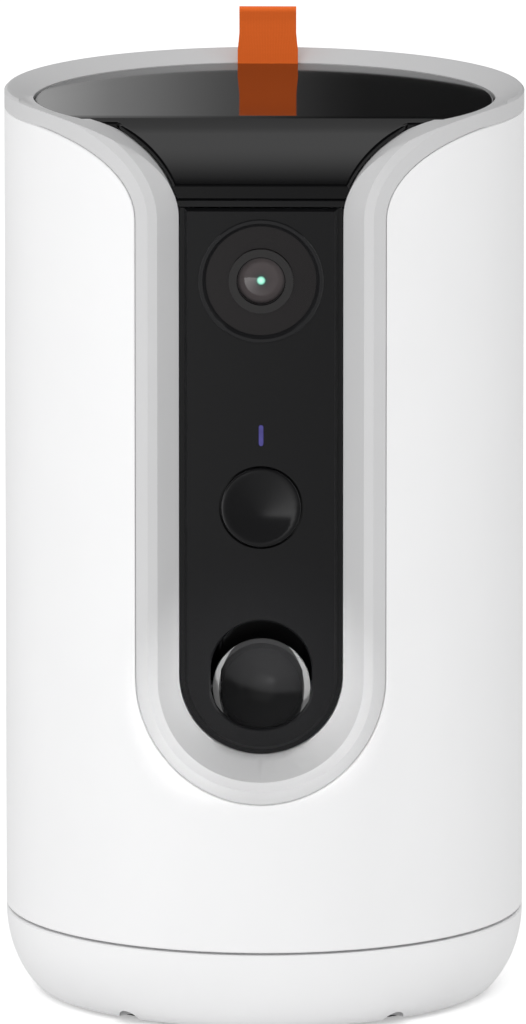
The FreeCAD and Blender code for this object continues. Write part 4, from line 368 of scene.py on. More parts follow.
@dataclass(frozen=True)
class RimHighlightMoulding:
    """A glossy dark moulding: its own dark colour inside an upright oval, and a paler colour outside it
    that is painted highlight on the rim faces.
    """

    name: str
    middle: Colour
    sides: Colour
    centre: Point
    half_width: float
    half_height: float
    roughness: float = 0.2
    gloss_spread: float = 0.04
    highlight_blend: float = 0.02
    grain_size: float = 0.4 * MM
    grain_depth: float = 0.005 * MM
    relief: float = 0.1

    def build(self) -> bpy.types.Material:
        """Make the material.

        Returns:
            The material.
        """
        sheet = NodeSheet(self.name)
        away = sheet.oval(self.centre, self.half_width, self.half_height)
        step = sheet.add("ShaderNodeMapRange", From_Min=1.0, From_Max=1 + self.highlight_blend)
        sheet.link(away, step.inputs["Value"])
        # The paler colour outside the oval is painted highlight on the cup's rim faces.
        sheet.colour(sheet.shaded(step.outputs["Result"], self.middle, self.sides))
        fine = sheet.noise(self.grain_size, sheet.place)
        sheet.gloss(fine, self.roughness - self.gloss_spread, self.roughness + self.gloss_spread)
        sheet.relief(fine, self.grain_depth, self.relief)
        return sheet.material


@dataclass(frozen=True)
class ClearMoulding:
    """A dark or clear window, lens or dome."""

    name: str
    colour: Colour
    transmission: float = 0.6
    roughness: float = 0.03
    index: float = 1.5
    coat: float = 0.6
    coat_roughness: float = 0.03
    smudge_size: float = 4 * MM
    smudge_shade: float = 0.94

    def build(self) -> bpy.types.Material:
        """Make the material.

        Returns:
            The material.
        """
        sheet = NodeSheet(self.name)
        sheet.set(Transmission_Weight=self.transmission, IOR=self.index)
        sheet.set(Coat_Weight=self.coat, Coat_Roughness=self.coat_roughness)
        smudge = sheet.noise(self.smudge_size, sheet.place, 4.0)
        sheet.gloss(smudge, self.roughness, self.roughness * 2)
        sheet.colour(sheet.shaded(smudge, scaled(self.colour, self.smudge_shade), self.colour))
        return sheet.material


@dataclass(frozen=True)
class LitPipe:
    """A light pipe that glows, a little unevenly."""

    name: str
    colour: Colour
    strength: float
    roughness: float = 0.25
    cloud_size: float = 2 * MM
    cloud_shade: float = 0.75

    def build(self) -> bpy.types.Material:
        """Make the material.

        Returns:
            The material.
        """
        sheet = NodeSheet(self.name)
        sheet.set(Emission_Strength=self.strength, Roughness=self.roughness)
        cloud = sheet.noise(self.cloud_size, sheet.place)
        tint = sheet.shaded(cloud, scaled(self.colour, self.cloud_shade), self.colour)
        sheet.glow(tint)
        sheet.colour(tint)
        return sheet.material


@dataclass(frozen=True)
class PaleFloor:
    """A matt floor that shows as white and keeps its shadows."""

    name: str
    lift: float
    dark: Colour = (0.97, 0.97, 0.97)
    light: Colour = (0.98, 0.98, 0.98)
    grain_size: float = 2 * MM

    def build(self) -> bpy.types.Material:
        """Make the material.

        Returns:
            The material.
        """
        sheet = NodeSheet(self.name)
        sheet.set(Roughness=0.9, Specular_IOR_Level=0.0, Emission_Color=(1, 1, 1, 1))
        sheet.colour(sheet.shaded(sheet.noise(self.grain_size, sheet.place), self.dark, self.light))
        paths = sheet.add("ShaderNodeLightPath")
        lift = sheet.mapped(paths.outputs["Is Camera Ray"], 0.0, self.lift)
        sheet.link(lift, sheet.shader.inputs["Emission Strength"])
        return sheet.material


@dataclass(frozen=True)
class RingedGlassWithPaintedReflex:
    """A coated camera lens: rings of colour round an axis that runs through the lens. The pale middle rings
    are a painted reflection, and all the rings glow as painted light.
    """

    name: str
    centre: Point
    radius: float
    rings: tuple[tuple[float, Colour], ...]
    # Strength of the painted glow of the ring colour.
    glow: float = 0.3
    roughness: float = 0.06
    smudge_size: float = 3 * MM
    smudge_rise: float = 1.6

    def build(self) -> bpy.types.Material:
        """Make the material.

        Returns:
            The material.
        """
        sheet = NodeSheet(self.name)
        sheet.set(Coat_Weight=1.0, Coat_Roughness=0.02, Specular_IOR_Level=0.6, Emission_Strength=self.glow)
        lens_colour_and_reflex = sheet.ramped(sheet.oval(self.centre, self.radius, self.radius), self.rings)
        sheet.colour(lens_colour_and_reflex)
        # The ring colour also glows: painted light, as the lens is no lamp.
        sheet.glow(lens_colour_and_reflex)
        smudge = sheet.noise(self.smudge_size, sheet.place)
        sheet.gloss(smudge, self.roughness, self.roughness * self.smudge_rise)
        return sheet.material


@dataclass(frozen=True)
class WovenRibbon:
    """A woven ribbon: warp and weft threads that follow the strip's own UV map."""

    name: str
    colour: Colour
    width: float
    length: float
    thread: float = 0.38 * MM
    weft_share: float = 0.8
    bands_a_unit: float = 3.2
    fuzz_size: float = 0.25 * MM
    fuzz_height: float = 0.35
    hollow_shade: float = 0.94
    thread_depth: float = 0.05 * MM
    relief: float = 0.4

    def build(self) -> bpy.types.Material:
        """Make the material.

        Returns:
            The material.
        """
        sheet = NodeSheet(self.name)
        sheet.set(Roughness=0.82, Sheen_Weight=0.35, Sheen_Roughness=0.4, Specular_IOR_Level=0.25)
        strip = sheet.add("ShaderNodeUVMap").outputs["UV"]
        threads = []
        weft = self.thread * self.weft_share
        for direction, size, pitch in (("X", self.width, self.thread), ("Y", self.length, weft)):
            scale = size / pitch / self.bands_a_unit
            wave = sheet.add("ShaderNodeTexWave", Scale=scale, Distortion=0.3, Detail=1.0)
            wave.bands_direction = direction
            wave.wave_profile = "SIN"
            sheet.link(strip, wave.inputs["Vector"])
            threads.append(wave.outputs["Fac"])
        weave = sheet.combined("MULTIPLY", *threads)
        fuzz = sheet.mapped(sheet.noise(self.fuzz_size, sheet.place, 3.0), 0.0, self.fuzz_height)
        height = sheet.combined("ADD", weave, fuzz)
        sheet.colour(sheet.shaded(height, scaled(self.colour, self.hollow_shade), self.colour))
        sheet.relief(height, self.thread_depth, self.relief)
        return sheet.material


@dataclass(frozen=True)
class CircuitBoard:
    """A solder-masked board, where tracks part blocks of ground fill."""

    name: str
    colour: Colour
    pitch: float = 6 * MM
    track_width: float = 0.03
    block_length: float = 0.9
    block_height: float = 0.22
    fill_shade: float = 0.8
    track_shade: float = 1.7
    grain_size: float = 0.3 * MM
    least_roughness: float = 0.3
    most_roughness: float = 0.45
    track_height: float = 0.02 * MM
    relief: float = 0.5

    def build(self) -> bpy.types.Material:
        """Make the material.

        Returns:
            The material.
        """
        sheet = NodeSheet(self.name)
        sheet.set(Coat_Weight=0.4, Coat_Roughness=0.1, Specular_IOR_Level=0.5)
        mapping = sheet.add("ShaderNodeMapping", Rotation=(QUARTER_TURN, 0, 0))
        sheet.link(sheet.place, mapping.inputs["Vector"])
        tracks = sheet.add(
            "ShaderNodeTexBrick", Scale=1 / self.pitch, Mortar_Size=self.track_width,
            Brick_Width=self.block_length, Row_Height=self.block_height)
        sheet.link(mapping.outputs["Vector"], tracks.inputs["Vector"])
        shades = (("Color1", self.fill_shade), ("Color2", 1.0), ("Mortar", self.track_shade))
        for socket, shade in shades:
            tracks.inputs[socket].default_value = (*scaled(self.colour, shade), 1)
        sheet.colour(tracks.outputs["Color"])
        fine = sheet.noise(self.grain_size, sheet.place)
        sheet.gloss(fine, self.least_roughness, self.most_roughness)
        sheet.relief(tracks.outputs["Fac"], self.track_height, self.relief)
        return sheet.material


SHELL_WHITE = Moulding(
    "shell_white_satin", (0.93, 0.93, 0.935), roughness=0.38, relief=0.12, shade_spread=0.01)
LINER_GREY = Moulding(
    "liner_light_grey", (0.635, 0.635, 0.64), roughness=0.42, relief=0.2, shade_spread=0.02)
LID_BLACK = Moulding(
    "lid_piano_black", (0.0025, 0.0025, 0.0028), roughness=0.07, gloss_spread=0.015, relief=0.03)
PANEL_BLACK = Moulding(
    "panel_gloss_black", (0.006, 0.006, 0.0066), roughness=0.14, gloss_spread=0.03, relief=0.05)
BARREL_DARK = Moulding("barrel_anodised", (0.024, 0.023, 0.023), roughness=0.3, relief=0.1)
TRIM_BLACK = Moulding(
    "camera_trim_black", (0.012, 0.012, 0.013), roughness=0.18, gloss_spread=0.03, relief=0.05)
BUTTON_BLACK = Moulding(
    "button_gloss_black", (0.006, 0.006, 0.0066), roughness=0.14, gloss_spread=0.02, relief=0.04)
PART_BLACK = Moulding("electronic_part_black", (0.03, 0.03, 0.032), roughness=0.5, relief=0.4)
HOUSING_BLACK = Moulding("housing_matte_black", (0.012, 0.012, 0.013), roughness=0.45, relief=0.4)
# The cup is dark; its pale sides are painted highlight on its rim faces.
CUP_PAINTED_RIM = RimHighlightMoulding(
    "cup_painted_rim_highlight", (0.03, 0.03, 0.031), (0.27, 0.27, 0.27), (0.0, 0.0, 77.6 * MM), 9.7 * MM, 12.2 * MM)
RUBBER_GREY = Moulding(
    "foot_rubber", (0.1, 0.1, 0.105), roughness=0.8, specular=0.3,
    grain_size=0.8 * MM, grain_depth=0.03 * MM, relief=0.6)
SEAL_SILICONE = Moulding("seal_silicone", (0.72, 0.72, 0.7), roughness=0.55, relief=0.2)
HOPPER_GREY = Moulding("hopper_smooth_grey", (0.55, 0.56, 0.57), roughness=0.28, relief=0.1)
FRAME_GREY = Moulding("frame_moulded_grey", (0.3, 0.31, 0.32), roughness=0.5, relief=0.4)
GEAR_WHITE = Moulding("gear_acetal_white", (0.8, 0.79, 0.75), roughness=0.42, relief=0.2)
CONE_PAPER = Moulding(
    "speaker_cone_paper", (0.06, 0.06, 0.065), roughness=0.85,
    grain_size=0.5 * MM, grain_depth=0.03 * MM, relief=0.7)
STEEL_BRIGHT = Moulding(
    "screw_zinc_plate", (0.6, 0.6, 0.62), roughness=0.28, metallic=1.0,
    grain_depth=0.004 * MM, shade_spread=0.08)
STEEL_ROLLED = Moulding(
    "ballast_rolled_steel", (0.4, 0.41, 0.43), roughness=0.42, metallic=1.0, grain=Grain.ALONG_X,
    grain_size=0.6 * MM, shade_spread=0.12, gloss_spread=0.1)
STEEL_CAN = Moulding(
    "motor_can_steel", (0.55, 0.56, 0.58), roughness=0.3, metallic=1.0, grain=Grain.ALONG_Z,
    grain_size=0.5 * MM, shade_spread=0.06, gloss_spread=0.08)
WINDOW_DARK = ClearMoulding(
    "infrared_window_dark", (0.009, 0.007, 0.0075), transmission=0.12, roughness=0.05)
LAMP_CLEAR = ClearMoulding("lamp_dome_clear", (0.6, 0.55, 0.6), transmission=0.8)
LIGHT_BLUE = LitPipe("status_light_blue", (0.045, 0.04, 0.16), 0.8)
BOARD_GREEN = CircuitBoard("board_solder_mask", (0.03, 0.16, 0.07))
RIBBON_ORANGE = (0.98, 0.17, 0.022)

# Lens colour from the middle out: the first two pale green-white stops are a painted reflection, the rest
# are the rings of the lens.
LENS_RINGS_WITH_PAINTED_REFLEX = (
    (0.0, (0.6, 0.95, 0.8)),
    (0.12, (0.3, 0.8, 0.6)),
    (0.19, (0.03, 0.05, 0.045)),
    (0.3, (0.05, 0.043, 0.044)),
    (0.6, (0.065, 0.055, 0.056)),
    (0.85, (0.075, 0.065, 0.066)),
    (0.95, (0.04, 0.036, 0.037)),
    (1.0, (0.015, 0.014, 0.014)),
)

BODIES = frame["record"]["behaviour"]["bodies"]
NODE_BODY = {node: Body(body) for body, nodes in BODIES.items() for node in nodes}


def deselect() -> None:
    """Leave no object selected or active."""
    bpy.ops.object.select_all(action="DESELECT")
    bpy.context.view_layer.objects.active = None


def take(piece: bpy.types.Object) -> None:
    """Make a piece the only selected and the active object."""
    deselect()
    piece.select_set(True)
    bpy.context.view_layer.objects.active = piece


def dress(piece: bpy.types.Object, finish: Finish) -> None:
    """Give a piece one finish.

    Args:
        piece: The piece.
        finish: The finish, whose build method makes its material.
    """
    piece.data.materials.clear()
    known = bpy.data.materials.get(finish.name)
    piece.data.materials.append(known or finish.build())


def smooth(piece: bpy.types.Object, degrees: float = SMOOTH_ANGLE) -> None:
    """Shade a piece smooth, except where its faces meet at more than an angle.

    Args:
        piece: The piece.
        degrees: The angle.
    """
    take(piece)
    bpy.ops.object.shade_smooth_by_angle(angle=math.radians(degrees))


def finished_copy(node: str, finish: Finish) -> None:
    """Merge a copy of a CAD node's mesh, shade it smooth, dress it, and let it stand for the node.

    Args:
        node: The CAD node.
        finish: The finish.
    """
    source = frame["nodes"][node]
    piece = source.copy()
    piece.data = source.data.copy()
    piece.name = f"{node}_finished"
    piece.parent = None
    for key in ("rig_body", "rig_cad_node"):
        del piece[key]
    bpy.context.scene.collection.objects.link(piece)
    take(piece)
    if piece.data.has_custom_normals:
        bpy.ops.mesh.customdata_custom_splitnormals_clear()
    bpy.ops.object.mode_set(mode="EDIT")
    bpy.ops.mesh.select_all(action="SELECT")
    bpy.ops.mesh.remove_doubles(threshold=MERGE_DISTANCE)
    bpy.ops.object.mode_set(mode="OBJECT")
    smooth(piece)
    flatten = piece.modifiers.new("flat_faces_first", "WEIGHTED_NORMAL")
    flatten.keep_sharp = True
    flatten.weight = FLAT_FACE_WEIGHT
    bpy.ops.object.modifier_apply(modifier=flatten.name)
    settle(piece, finish, NODE_BODY[node])
    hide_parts(node)


def settle(piece: bpy.types.Object, finish: Finish, body: Body) -> None:
    """Dress a piece and tie it to its body.

    Args:
        piece: The piece, in place.
        finish: The finish.
        body: The CAD body that it moves with.
    """
    dress(piece, finish)
    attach(piece, body.value)
    LOG.info("%s: %d faces on %s", piece.name, len(piece.data.polygons), body.value)


def turned(name: str, profile: list[tuple[float, float]], centre: Point,
           segments: int = 72) -> bpy.types.Object:
    """Turn a closed profile round an axis that points along -Y, by extruding rings from a circle.

    Args:
        name: The piece's name.
        profile: (radius, distance towards the front) of each ring, the last of which joins the first.
        centre: The point on the axis at distance 0.
        segments: How many sides a ring has.

    Returns:
        The piece, closed, with its normals pointing out.
    """
    deselect()
    first_radius, first_height = profile[0]
    bpy.ops.mesh.primitive_circle_add(vertices=segments, radius=first_radius, location=(0, 0, first_height))
    piece = bpy.context.object
    piece.name = name
    bpy.ops.object.transform_apply(location=True, rotation=True, scale=True)
    bpy.ops.object.mode_set(mode="EDIT")
    bpy.ops.mesh.select_all(action="SELECT")
    radius, height = first_radius, first_height
    for next_radius, next_height in profile[1:] + profile[:1]:
        bpy.ops.mesh.extrude_region_move(TRANSFORM_OT_translate={"value": (0, 0, next_height - height)})
        share = next_radius / radius
        bpy.ops.transform.resize(value=(share, share, 1), center_override=(0, 0, next_height))
        radius, height = next_radius, next_height
    bpy.ops.mesh.select_all(action="SELECT")
    bpy.ops.mesh.remove_doubles(threshold=MERGE_DISTANCE)
    bpy.ops.mesh.normals_make_consistent(inside=False)
    bpy.ops.object.mode_set(mode="OBJECT")
    piece.rotation_euler = (QUARTER_TURN, 0, 0)
    piece.location = centre
    bpy.ops.object.transform_apply(location=True, rotation=True, scale=True)
    smooth(piece)
    return piece


class Assembly:
    """A sub-assembly whose CAD nodes get merged, smooth copies in their own finishes."""

    finishes: dict[str, Finish] = {}

    def build(self) -> None:
        """Build and dress every piece of the sub-assembly."""
        for node, finish in self.finishes.items():
            finished_copy(node, finish)
        self.add_details()

    def add_details(self) -> None:
        """Model the pieces that the CAD nodes don't hold."""


class Casing(Assembly):
    """White shell and base, grey liner, foot, ballast and the long screws."""

    finishes = {
        "body_shell": SHELL_WHITE,
        "base_shell": SHELL_WHITE,
        "trim_liner": LINER_GREY,
        "foot_ring": RUBBER_GREY,
        "ballast_plate": STEEL_ROLLED,
        "base_screws": STEEL_BRIGHT,
        "short_screws": STEEL_BRIGHT,
    }


@dataclass
class LidUnit(Assembly):
    """Lift-off lid with its plug, seal, clamp and ribbon tab."""

    ribbon_width: float = 14.1 * MM
    upper_width: float = 13.3 * MM
    ply: float = 0.42 * MM
    columns: int = 16
    leg_front: float = 44.3 * MM
    leg_middle: float = 49.0 * MM
    leg_low: float = 207.21 * MM
    leg_high: float = 207.59 * MM
    front_ply: float = 51.66 * MM
    rear_ply: float = 52.14 * MM
    straight_low: float = 210.0 * MM
    crease: float = 213.8 * MM
    straight_high: float = 218.0 * MM
    bulge_height: float = 219.4 * MM
    bulge: float = 0.1 * MM
    fold_radius: float = 0.75 * MM
    fold_start: float = 200.0
    fold_step: float = 27.5
    fold_steps: int = 8
    top: float = 222.2 * MM

    finishes = {
        "lid": LID_BLACK,
        "lid_plug": LID_BLACK,
        "lid_seal": SEAL_SILICONE,
        "tab_clamp": LID_BLACK,
        "tab_screws": STEEL_BRIGHT,
    }

    def path(self) -> list[Vector]:
        """The ribbon's middle line from one end of its leg, up, over the fold and back.

        Returns:
            Points in the plane of the line, with X 0.
        """
        front, rear = self.front_ply, self.rear_ply
        middle, fold_height = (front + rear) / 2, self.top - self.ply / 2 - self.fold_radius
        leg_over = [(self.leg_front, self.leg_high), (self.leg_middle, self.leg_high)]
        front_corner = [
            (front - 0.36 * MM, self.leg_high),
            (front - 0.11 * MM, self.leg_high + 0.12 * MM),
            (front, self.leg_high + 0.51 * MM),
        ]
        rise = [
            (front, self.straight_low),
            (front, self.straight_low + 2 * MM),
            (front + 0.02 * MM, self.crease),
            (front, self.straight_high - 2 * MM),
            (front, self.straight_high),
            (front - self.bulge, self.bulge_height),
        ]
        fold = []
        for step in range(self.fold_steps + 1):
            angle = math.radians(self.fold_start - self.fold_step * step)
            reach, lift = self.fold_radius * math.cos(angle), self.fold_radius * math.sin(angle)
            fold.append((middle + reach, fold_height + lift))
        fall = [
            (rear + self.bulge, self.bulge_height),
            (rear, self.straight_high),
            (rear, self.straight_high - 3 * MM),
            (rear, self.crease),
            (rear, self.straight_low),
        ]
        rear_corner = [
            (rear, self.leg_low + 0.49 * MM),
            (rear - 0.14 * MM, self.leg_low + 0.09 * MM),
            (rear - 0.54 * MM, self.leg_low),
        ]
        leg_under = [(self.leg_middle, self.leg_low), (self.leg_front, self.leg_low)]
        points = leg_over + front_corner + rise + fold + fall + rear_corner + leg_under
        return [Vector((0, y, z)) for y, z in points]

    def width_at(self, height: float) -> float:
        """The ribbon's width at a height: it narrows within a millimetre at the crease."""
        upper = min(1.0, max(0.0, (height - self.crease) / MM + 0.5))
        return self.ribbon_width + (self.upper_width - self.ribbon_width) * upper

    def add_details(self) -> None:
        """Lay the ribbon along its path as one strip, and thicken it."""
        path = self.path()
        rows = len(path) - 1
        runs = [0.0]
        for first, last in zip(path, path[1:]):
            runs.append(runs[-1] + (last - first).length)
        deselect()
        bpy.ops.mesh.primitive_grid_add(x_subdivisions=self.columns, y_subdivisions=rows, size=1)
        ribbon = bpy.context.object
        ribbon.name = "ribbon_tab"
        vertices = ribbon.data.vertices
        layer = ribbon.data.uv_layers.active
        for loop in ribbon.data.loops:
            across, along = vertices[loop.vertex_index].co.xy
            layer.data[loop.index].uv = (across + 0.5, runs[round((along + 0.5) * rows)] / runs[-1])
        for vertex in vertices:
            point = path[round((vertex.co.y + 0.5) * rows)]
            vertex.co = Vector((vertex.co.x * self.width_at(point.z), point.y, point.z))
        take(ribbon)
        thick = ribbon.modifiers.new("ply", "SOLIDIFY")
        thick.thickness = self.ply
        thick.offset = 0.0
        bpy.ops.object.modifier_apply(modifier=thick.name)
        smooth(ribbon, RIBBON_SMOOTH_ANGLE)
        finish = WovenRibbon("ribbon_orange_weave", RIBBON_ORANGE, self.ribbon_width, runs[-1])
        settle(ribbon, finish, Body.LID)
        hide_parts("lid_tab")


class FrontPanel(Assembly):
    """Black front panel with its carrier, cover, light pipe and board."""

    finishes = {
        "front_panel": PANEL_BLACK,
        "front_carrier": FRAME_GREY,
        "camera_bay_cover": PANEL_BLACK,
        "light_pipe": LIGHT_BLUE,
        "front_board": BOARD_GREEN,
        "button_switch": PART_BLACK,
    }


@dataclass
class CameraUnit(Assembly):
    """Camera with its trim, dark window, barrel, lens and lamps."""

    centre: Point = (0.0, -48.0 * MM, 174.1 * MM)
    lens_radius: float = 5.6 * MM
    ring_radius: float = 5.58 * MM
    ring_front: float = 0.5 * MM
    ring_back: float = -0.1 * MM
    ring_inset: float = 0.45 * MM

    finishes = {
        "camera_trim": TRIM_BLACK,
        "infrared_window": WINDOW_DARK,
        "camera_barrel": BARREL_DARK,
        "lens_holder": PART_BLACK,
        "camera_board": BOARD_GREEN,
        "lamp_board": BOARD_GREEN,
        "infrared_lamps": LAMP_CLEAR,
    }

    def add_details(self) -> None:
        """Dress the lens, and model the retaining ring that holds it in the barrel."""
        # The lens's colour holds a painted reflection at its middle and glows as painted light.
        glass = RingedGlassWithPaintedReflex("lens_glass_painted_reflex", self.centre, self.lens_radius, LENS_RINGS_WITH_PAINTED_REFLEX)
        finished_copy("camera_lens", glass)
        outer = self.ring_radius
        profile = [
            (outer, self.ring_front),
            (outer - 0.16 * MM, self.ring_front + 0.06 * MM),
            (outer - 0.2 * MM, self.ring_front - 0.2 * MM),
            (outer - 0.13 * MM, self.ring_back),
            (outer, self.ring_back),
        ]
        x, y, z = self.centre
        ring = turned("lens_retaining_ring", profile, (x, y + self.ring_inset, z))
        settle(ring, TRIM_BLACK, Body.CASE)


class TossUnit(Assembly):
    """Front button, toss cup with its pins, gears and spring, housing and motor."""

    finishes = {
        "toss_button": BUTTON_BLACK,
        "toss_housing": HOUSING_BLACK,
        "toss_cup": CUP_PAINTED_RIM,
        "cup_pin_left": STEEL_BRIGHT,
        "cup_pin_right": STEEL_BRIGHT,
        "cup_gear": GEAR_WHITE,
        "cup_spring": STEEL_BRIGHT,
        "spring_collar": GEAR_WHITE,
        "drive_gear": GEAR_WHITE,
        "drive_shaft": STEEL_BRIGHT,
        "toss_gearbox": PART_BLACK,
        "toss_motor": STEEL_CAN,
    }


class FeedUnit(Assembly):
    """Hopper, metering wheel with its drive, and the drop chute."""

    finishes = {
        "hopper": HOPPER_GREY,
        "treat_guard": HOPPER_GREY,
        "metering_housing": HOPPER_GREY,
        "metering_rotor": GEAR_WHITE,
        "rotor_shaft": STEEL_BRIGHT,
        "rotor_gear": GEAR_WHITE,
        "rotor_pinion": GEAR_WHITE,
        "metering_bracket": FRAME_GREY,
        "metering_gearbox": PART_BLACK,
        "metering_motor": STEEL_CAN,
        "drop_chute": HOPPER_GREY,
    }


class Electronics(Assembly):
    """Inner frame, main board with its parts, power inlet, reset button and speakers."""

    finishes = {
        "inner_frame": FRAME_GREY,
        "main_board": BOARD_GREEN,
        "radio_shield": STEEL_CAN,
        "power_inlet": PART_BLACK,
        "reset_button": PART_BLACK,
        "left_speaker": PART_BLACK,
        "right_speaker": PART_BLACK,
        "speaker_cones": CONE_PAPER,
    }


REAR_WALL_Y = 0.3
REAR_WALL_LOW, REAR_WALL_SPLIT, REAR_WALL_HIGH = 0.2, 0.38, 1.6
SIDE_WALL_X = 1.6

LID_REFLECTION = Card(
    "rear_card", (-0.35, REAR_WALL_Y, REAR_WALL_LOW), (0.35, REAR_WALL_Y, REAR_WALL_SPLIT), Axis.Y, Axis.X,
    ((-0.06, 0.69), (-0.043, 0.39), (-0.032, 0.29), (-0.024, 0.22), (-0.016, 0.165), (0.004, 0.06),
     (0.012, 0.035), (0.02, 0.022), (0.049, 0.016)))
BEND_REFLECTION = Card(
    "high_rear_card", (-0.35, REAR_WALL_Y, REAR_WALL_SPLIT), (0.35, REAR_WALL_Y, REAR_WALL_HIGH),
    Axis.Y, Axis.Z,
    ((REAR_WALL_SPLIT, 0.17), (0.404, 0.2), (0.614, 0.42), (1.155, 0.87), (REAR_WALL_HIGH, 1.0)))
TONGUE_REFLECTION = Card(
    "upper_card", (-0.3, -0.2, 0.31), (0.3, -0.005, 0.31), Axis.Z, Axis.Y,
    ((-0.0275, 0.02), (-0.0259, 0.034), (-0.0236, 0.17), (-0.0213, 0.47), (-0.0189, 0.81), (-0.0166, 1.0),
     (-0.005, 0.92)), 1.16)
LOW_REFLECTION = Card(
    "low_rear_card", (-2.5, 1.2, -1.2), (2.5, 1.2, 0.19), Axis.Y, Axis.X,
    ((-2.5, 1.0), (0.0, 1.0), (2.5, 0.85)), 0.75)
LEFT_REFLECTION = Card(
    "left_card", (-SIDE_WALL_X, -1.6, -1.0), (-SIDE_WALL_X, 1.2, 0.5), Axis.X, Axis.Y,
    ((-1.6, 1.0), (1.2, 1.0)), 1.2)
RIGHT_REFLECTION = Card(
    "right_card", (SIDE_WALL_X, -1.0, -1.0), (SIDE_WALL_X, 1.2, 0.5), Axis.X, Axis.Y,
    ((-1.0, 1.0), (1.2, 1.0)), 0.8)
TABLE_REFLECTION = Card(
    "front_card", (-1.5, -3.0, 0.003), (0.4, -0.14, 0.003), Axis.Z, Axis.X,
    ((-0.45, 1.3), (-0.2, 0.95), (-0.08, 0.5), (-0.03, 0.32), (0.02, 0.25), (0.1, 0.15)))
CARDS = (
    LID_REFLECTION, BEND_REFLECTION, TONGUE_REFLECTION, LOW_REFLECTION, LEFT_REFLECTION, RIGHT_REFLECTION,
    TABLE_REFLECTION)


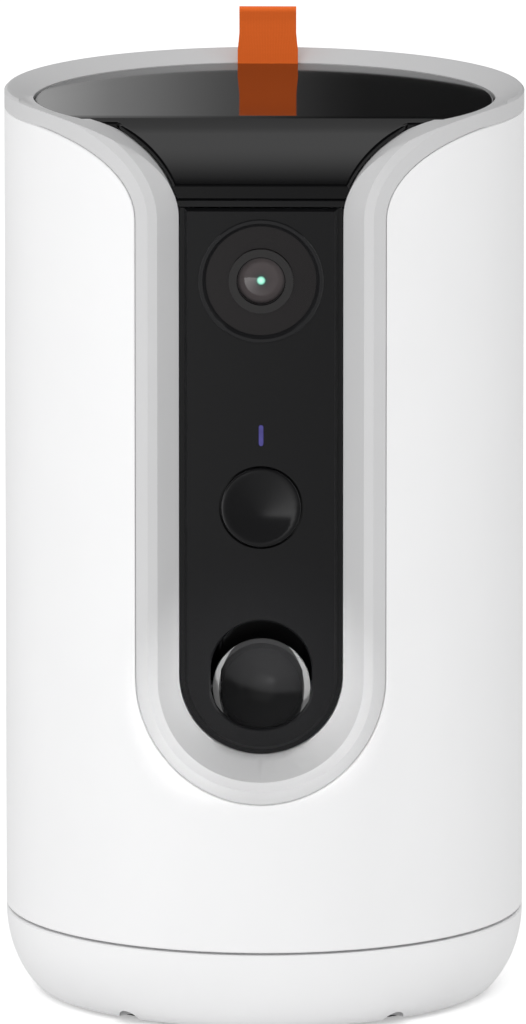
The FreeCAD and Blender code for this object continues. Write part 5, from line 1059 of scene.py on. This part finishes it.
@dataclass
class Studio:
    """Camera, lights, floor and the cards that only reflections see."""

    target: Point = (0.0, 0.0, 0.1116)
    distance: float = 3.665
    elevation: float = 10.587
    azimuth: float = 0.9
    lens: float = 555.8
    sensor: float = 36.0
    shift: float = -1.33 / 1024
    sight: float = 100.0
    floor_size: float = 8.0
    floor_lift: float = 0.34
    sky_level: float = 0.78
    mirrored_level: float = 0.13
    key_place: Point = (-0.66, -2.2, 1.1)
    key_aim: Point = (0.0, 0.0, 0.11)
    key_size: float = 1.4
    key_energy: float = 14.0
    bounce_place: Point = (-0.03, -0.33, 0.012)
    bounce_aim: Point = (0.001, -0.034, 0.083)
    bounce_energy: float = 12.0
    bounce_spread: float = 5.4
    bounce_blend: float = 0.5
    bounce_radius: float = 0.02

    def build(self) -> None:
        """Set up the whole studio."""
        self.add_camera()
        self.add_world()
        self.add_floor()
        self.add_lights()
        for card in CARDS:
            self.add_card(card)
        bpy.context.scene.view_settings.view_transform = "Standard"

    def add_camera(self) -> None:
        """Place the camera at the photograph's viewing angle."""
        side, up = math.radians(self.azimuth), math.radians(self.elevation)
        back = Vector((math.sin(side) * math.cos(up), -math.cos(side) * math.cos(up), math.sin(up)))
        data = bpy.data.cameras.new("photo_camera")
        data.lens = self.lens
        data.sensor_width = self.sensor
        data.shift_x = self.shift
        data.clip_end = self.sight
        camera = bpy.data.objects.new("photo_camera", data)
        bpy.context.scene.collection.objects.link(camera)
        camera.location = Vector(self.target) + back * self.distance
        camera.rotation_euler = (-back).to_track_quat("-Z", "Y").to_euler()
        bpy.context.scene.camera = camera

    def add_world(self) -> None:
        """Light the object evenly, and show white to the camera."""
        world = bpy.data.worlds.new("studio_world")
        bpy.context.scene.world = world
        world.use_nodes = True
        tree = world.node_tree
        background = tree.nodes["Background"]
        background.inputs["Color"].default_value = (1, 1, 1, 1)
        paths = tree.nodes.new("ShaderNodeLightPath")
        level = tree.nodes.new("ShaderNodeMapRange")
        level.inputs["To Min"].default_value = self.sky_level
        level.inputs["To Max"].default_value = self.mirrored_level
        tree.links.new(paths.outputs["Is Glossy Ray"], level.inputs["Value"])
        seen = tree.nodes.new("ShaderNodeMath")
        seen.operation = "MAXIMUM"
        tree.links.new(level.outputs["Result"], seen.inputs[0])
        tree.links.new(paths.outputs["Is Camera Ray"], seen.inputs[1])
        tree.links.new(seen.outputs["Value"], background.inputs["Strength"])

    def add_floor(self) -> None:
        """Lay a pale floor that keeps the object's shadow."""
        deselect()
        bpy.ops.mesh.primitive_plane_add(size=self.floor_size, location=(0, 0, 0))
        floor = bpy.context.object
        floor.name = "studio_floor"
        dress(floor, PaleFloor("floor_pale", self.floor_lift))
        floor.visible_glossy = False

    def add_light(self, data: bpy.types.Light, place: Point, aim: Point) -> None:
        """Stand up a light that reflections don't see.

        Args:
            data: The light's data, whose name the light takes.
            place: Where it stands.
            aim: The point that it faces.
        """
        light = bpy.data.objects.new(data.name, data)
        bpy.context.scene.collection.objects.link(light)
        light.location = place
        light.rotation_euler = (Vector(aim) - Vector(place)).to_track_quat("-Z", "Y").to_euler()
        light.visible_glossy = False

    def add_lights(self) -> None:
        """Add the soft key from the front left, and the table's bounce into the mouth."""
        key = bpy.data.lights.new("key_light", "AREA")
        key.size = self.key_size
        key.energy = self.key_energy
        self.add_light(key, self.key_place, self.key_aim)
        bounce = bpy.data.lights.new("mouth_bounce", "SPOT")
        bounce.energy = self.bounce_energy
        bounce.spot_size = math.radians(self.bounce_spread)
        bounce.spot_blend = self.bounce_blend
        bounce.shadow_soft_size = self.bounce_radius
        self.add_light(bounce, self.bounce_place, self.bounce_aim)

    def add_card(self, card: Card) -> None:
        """Stand up a card.

        Args:
            card: What it is.
        """
        low, high = Vector(card.low), Vector(card.high)
        width, depth, height = high - low
        turn, size = {
            Axis.X: ((0, QUARTER_TURN, 0), (height, depth, 1)),
            Axis.Y: ((QUARTER_TURN, 0, 0), (width, height, 1)),
            Axis.Z: ((0, 0, 0), (width, depth, 1)),
        }[card.facing]
        deselect()
        bpy.ops.mesh.primitive_plane_add(size=1, location=(low + high) / 2, rotation=turn)
        board = bpy.context.object
        board.name = card.name
        board.scale = size
        bpy.ops.object.transform_apply(location=True, rotation=True, scale=True)
        board.data.materials.append(self.card_material(card))
        board.visible_camera = board.visible_diffuse = board.visible_shadow = False
        board.visible_transmission = board.visible_volume_scatter = False

    def card_material(self, card: Card) -> bpy.types.Material:
        """Make the material of a card.

        Args:
            card: The card.

        Returns:
            A material that glows with the card's run of brightness.
        """
        sheet = NodeSheet(card.name)
        sheet.tree.nodes.remove(sheet.shader)
        split = sheet.add("ShaderNodeSeparateXYZ")
        sheet.link(sheet.place, split.inputs["Vector"])
        start, end = card.stops[0][0], card.stops[-1][0]
        run = sheet.add("ShaderNodeMapRange", From_Min=start, From_Max=end)
        sheet.link(split.outputs[card.along.value], run.inputs["Value"])
        peak = max(level for _, level in card.stops)
        stops = [((place - start) / (end - start), (level / peak,) * 3) for place, level in card.stops]
        glow = sheet.add("ShaderNodeEmission", Strength=card.strength * peak)
        sheet.link(sheet.ramped(run.outputs["Result"], stops), glow.inputs["Color"])
        sheet.link(glow.outputs["Emission"], sheet.tree.nodes["Material Output"].inputs["Surface"])
        return sheet.material


def main() -> None:
    """Build the studio and every sub-assembly."""
    logging.basicConfig(level=logging.INFO, format="%(message)s")
    deselect()
    Studio().build()
    for unit in (Casing(), LidUnit(), FrontPanel(), CameraUnit(), TossUnit(), FeedUnit(), Electronics()):
        LOG.info("building %s", type(unit).__name__)
        unit.build()


if __name__ == "__main__":
    main()
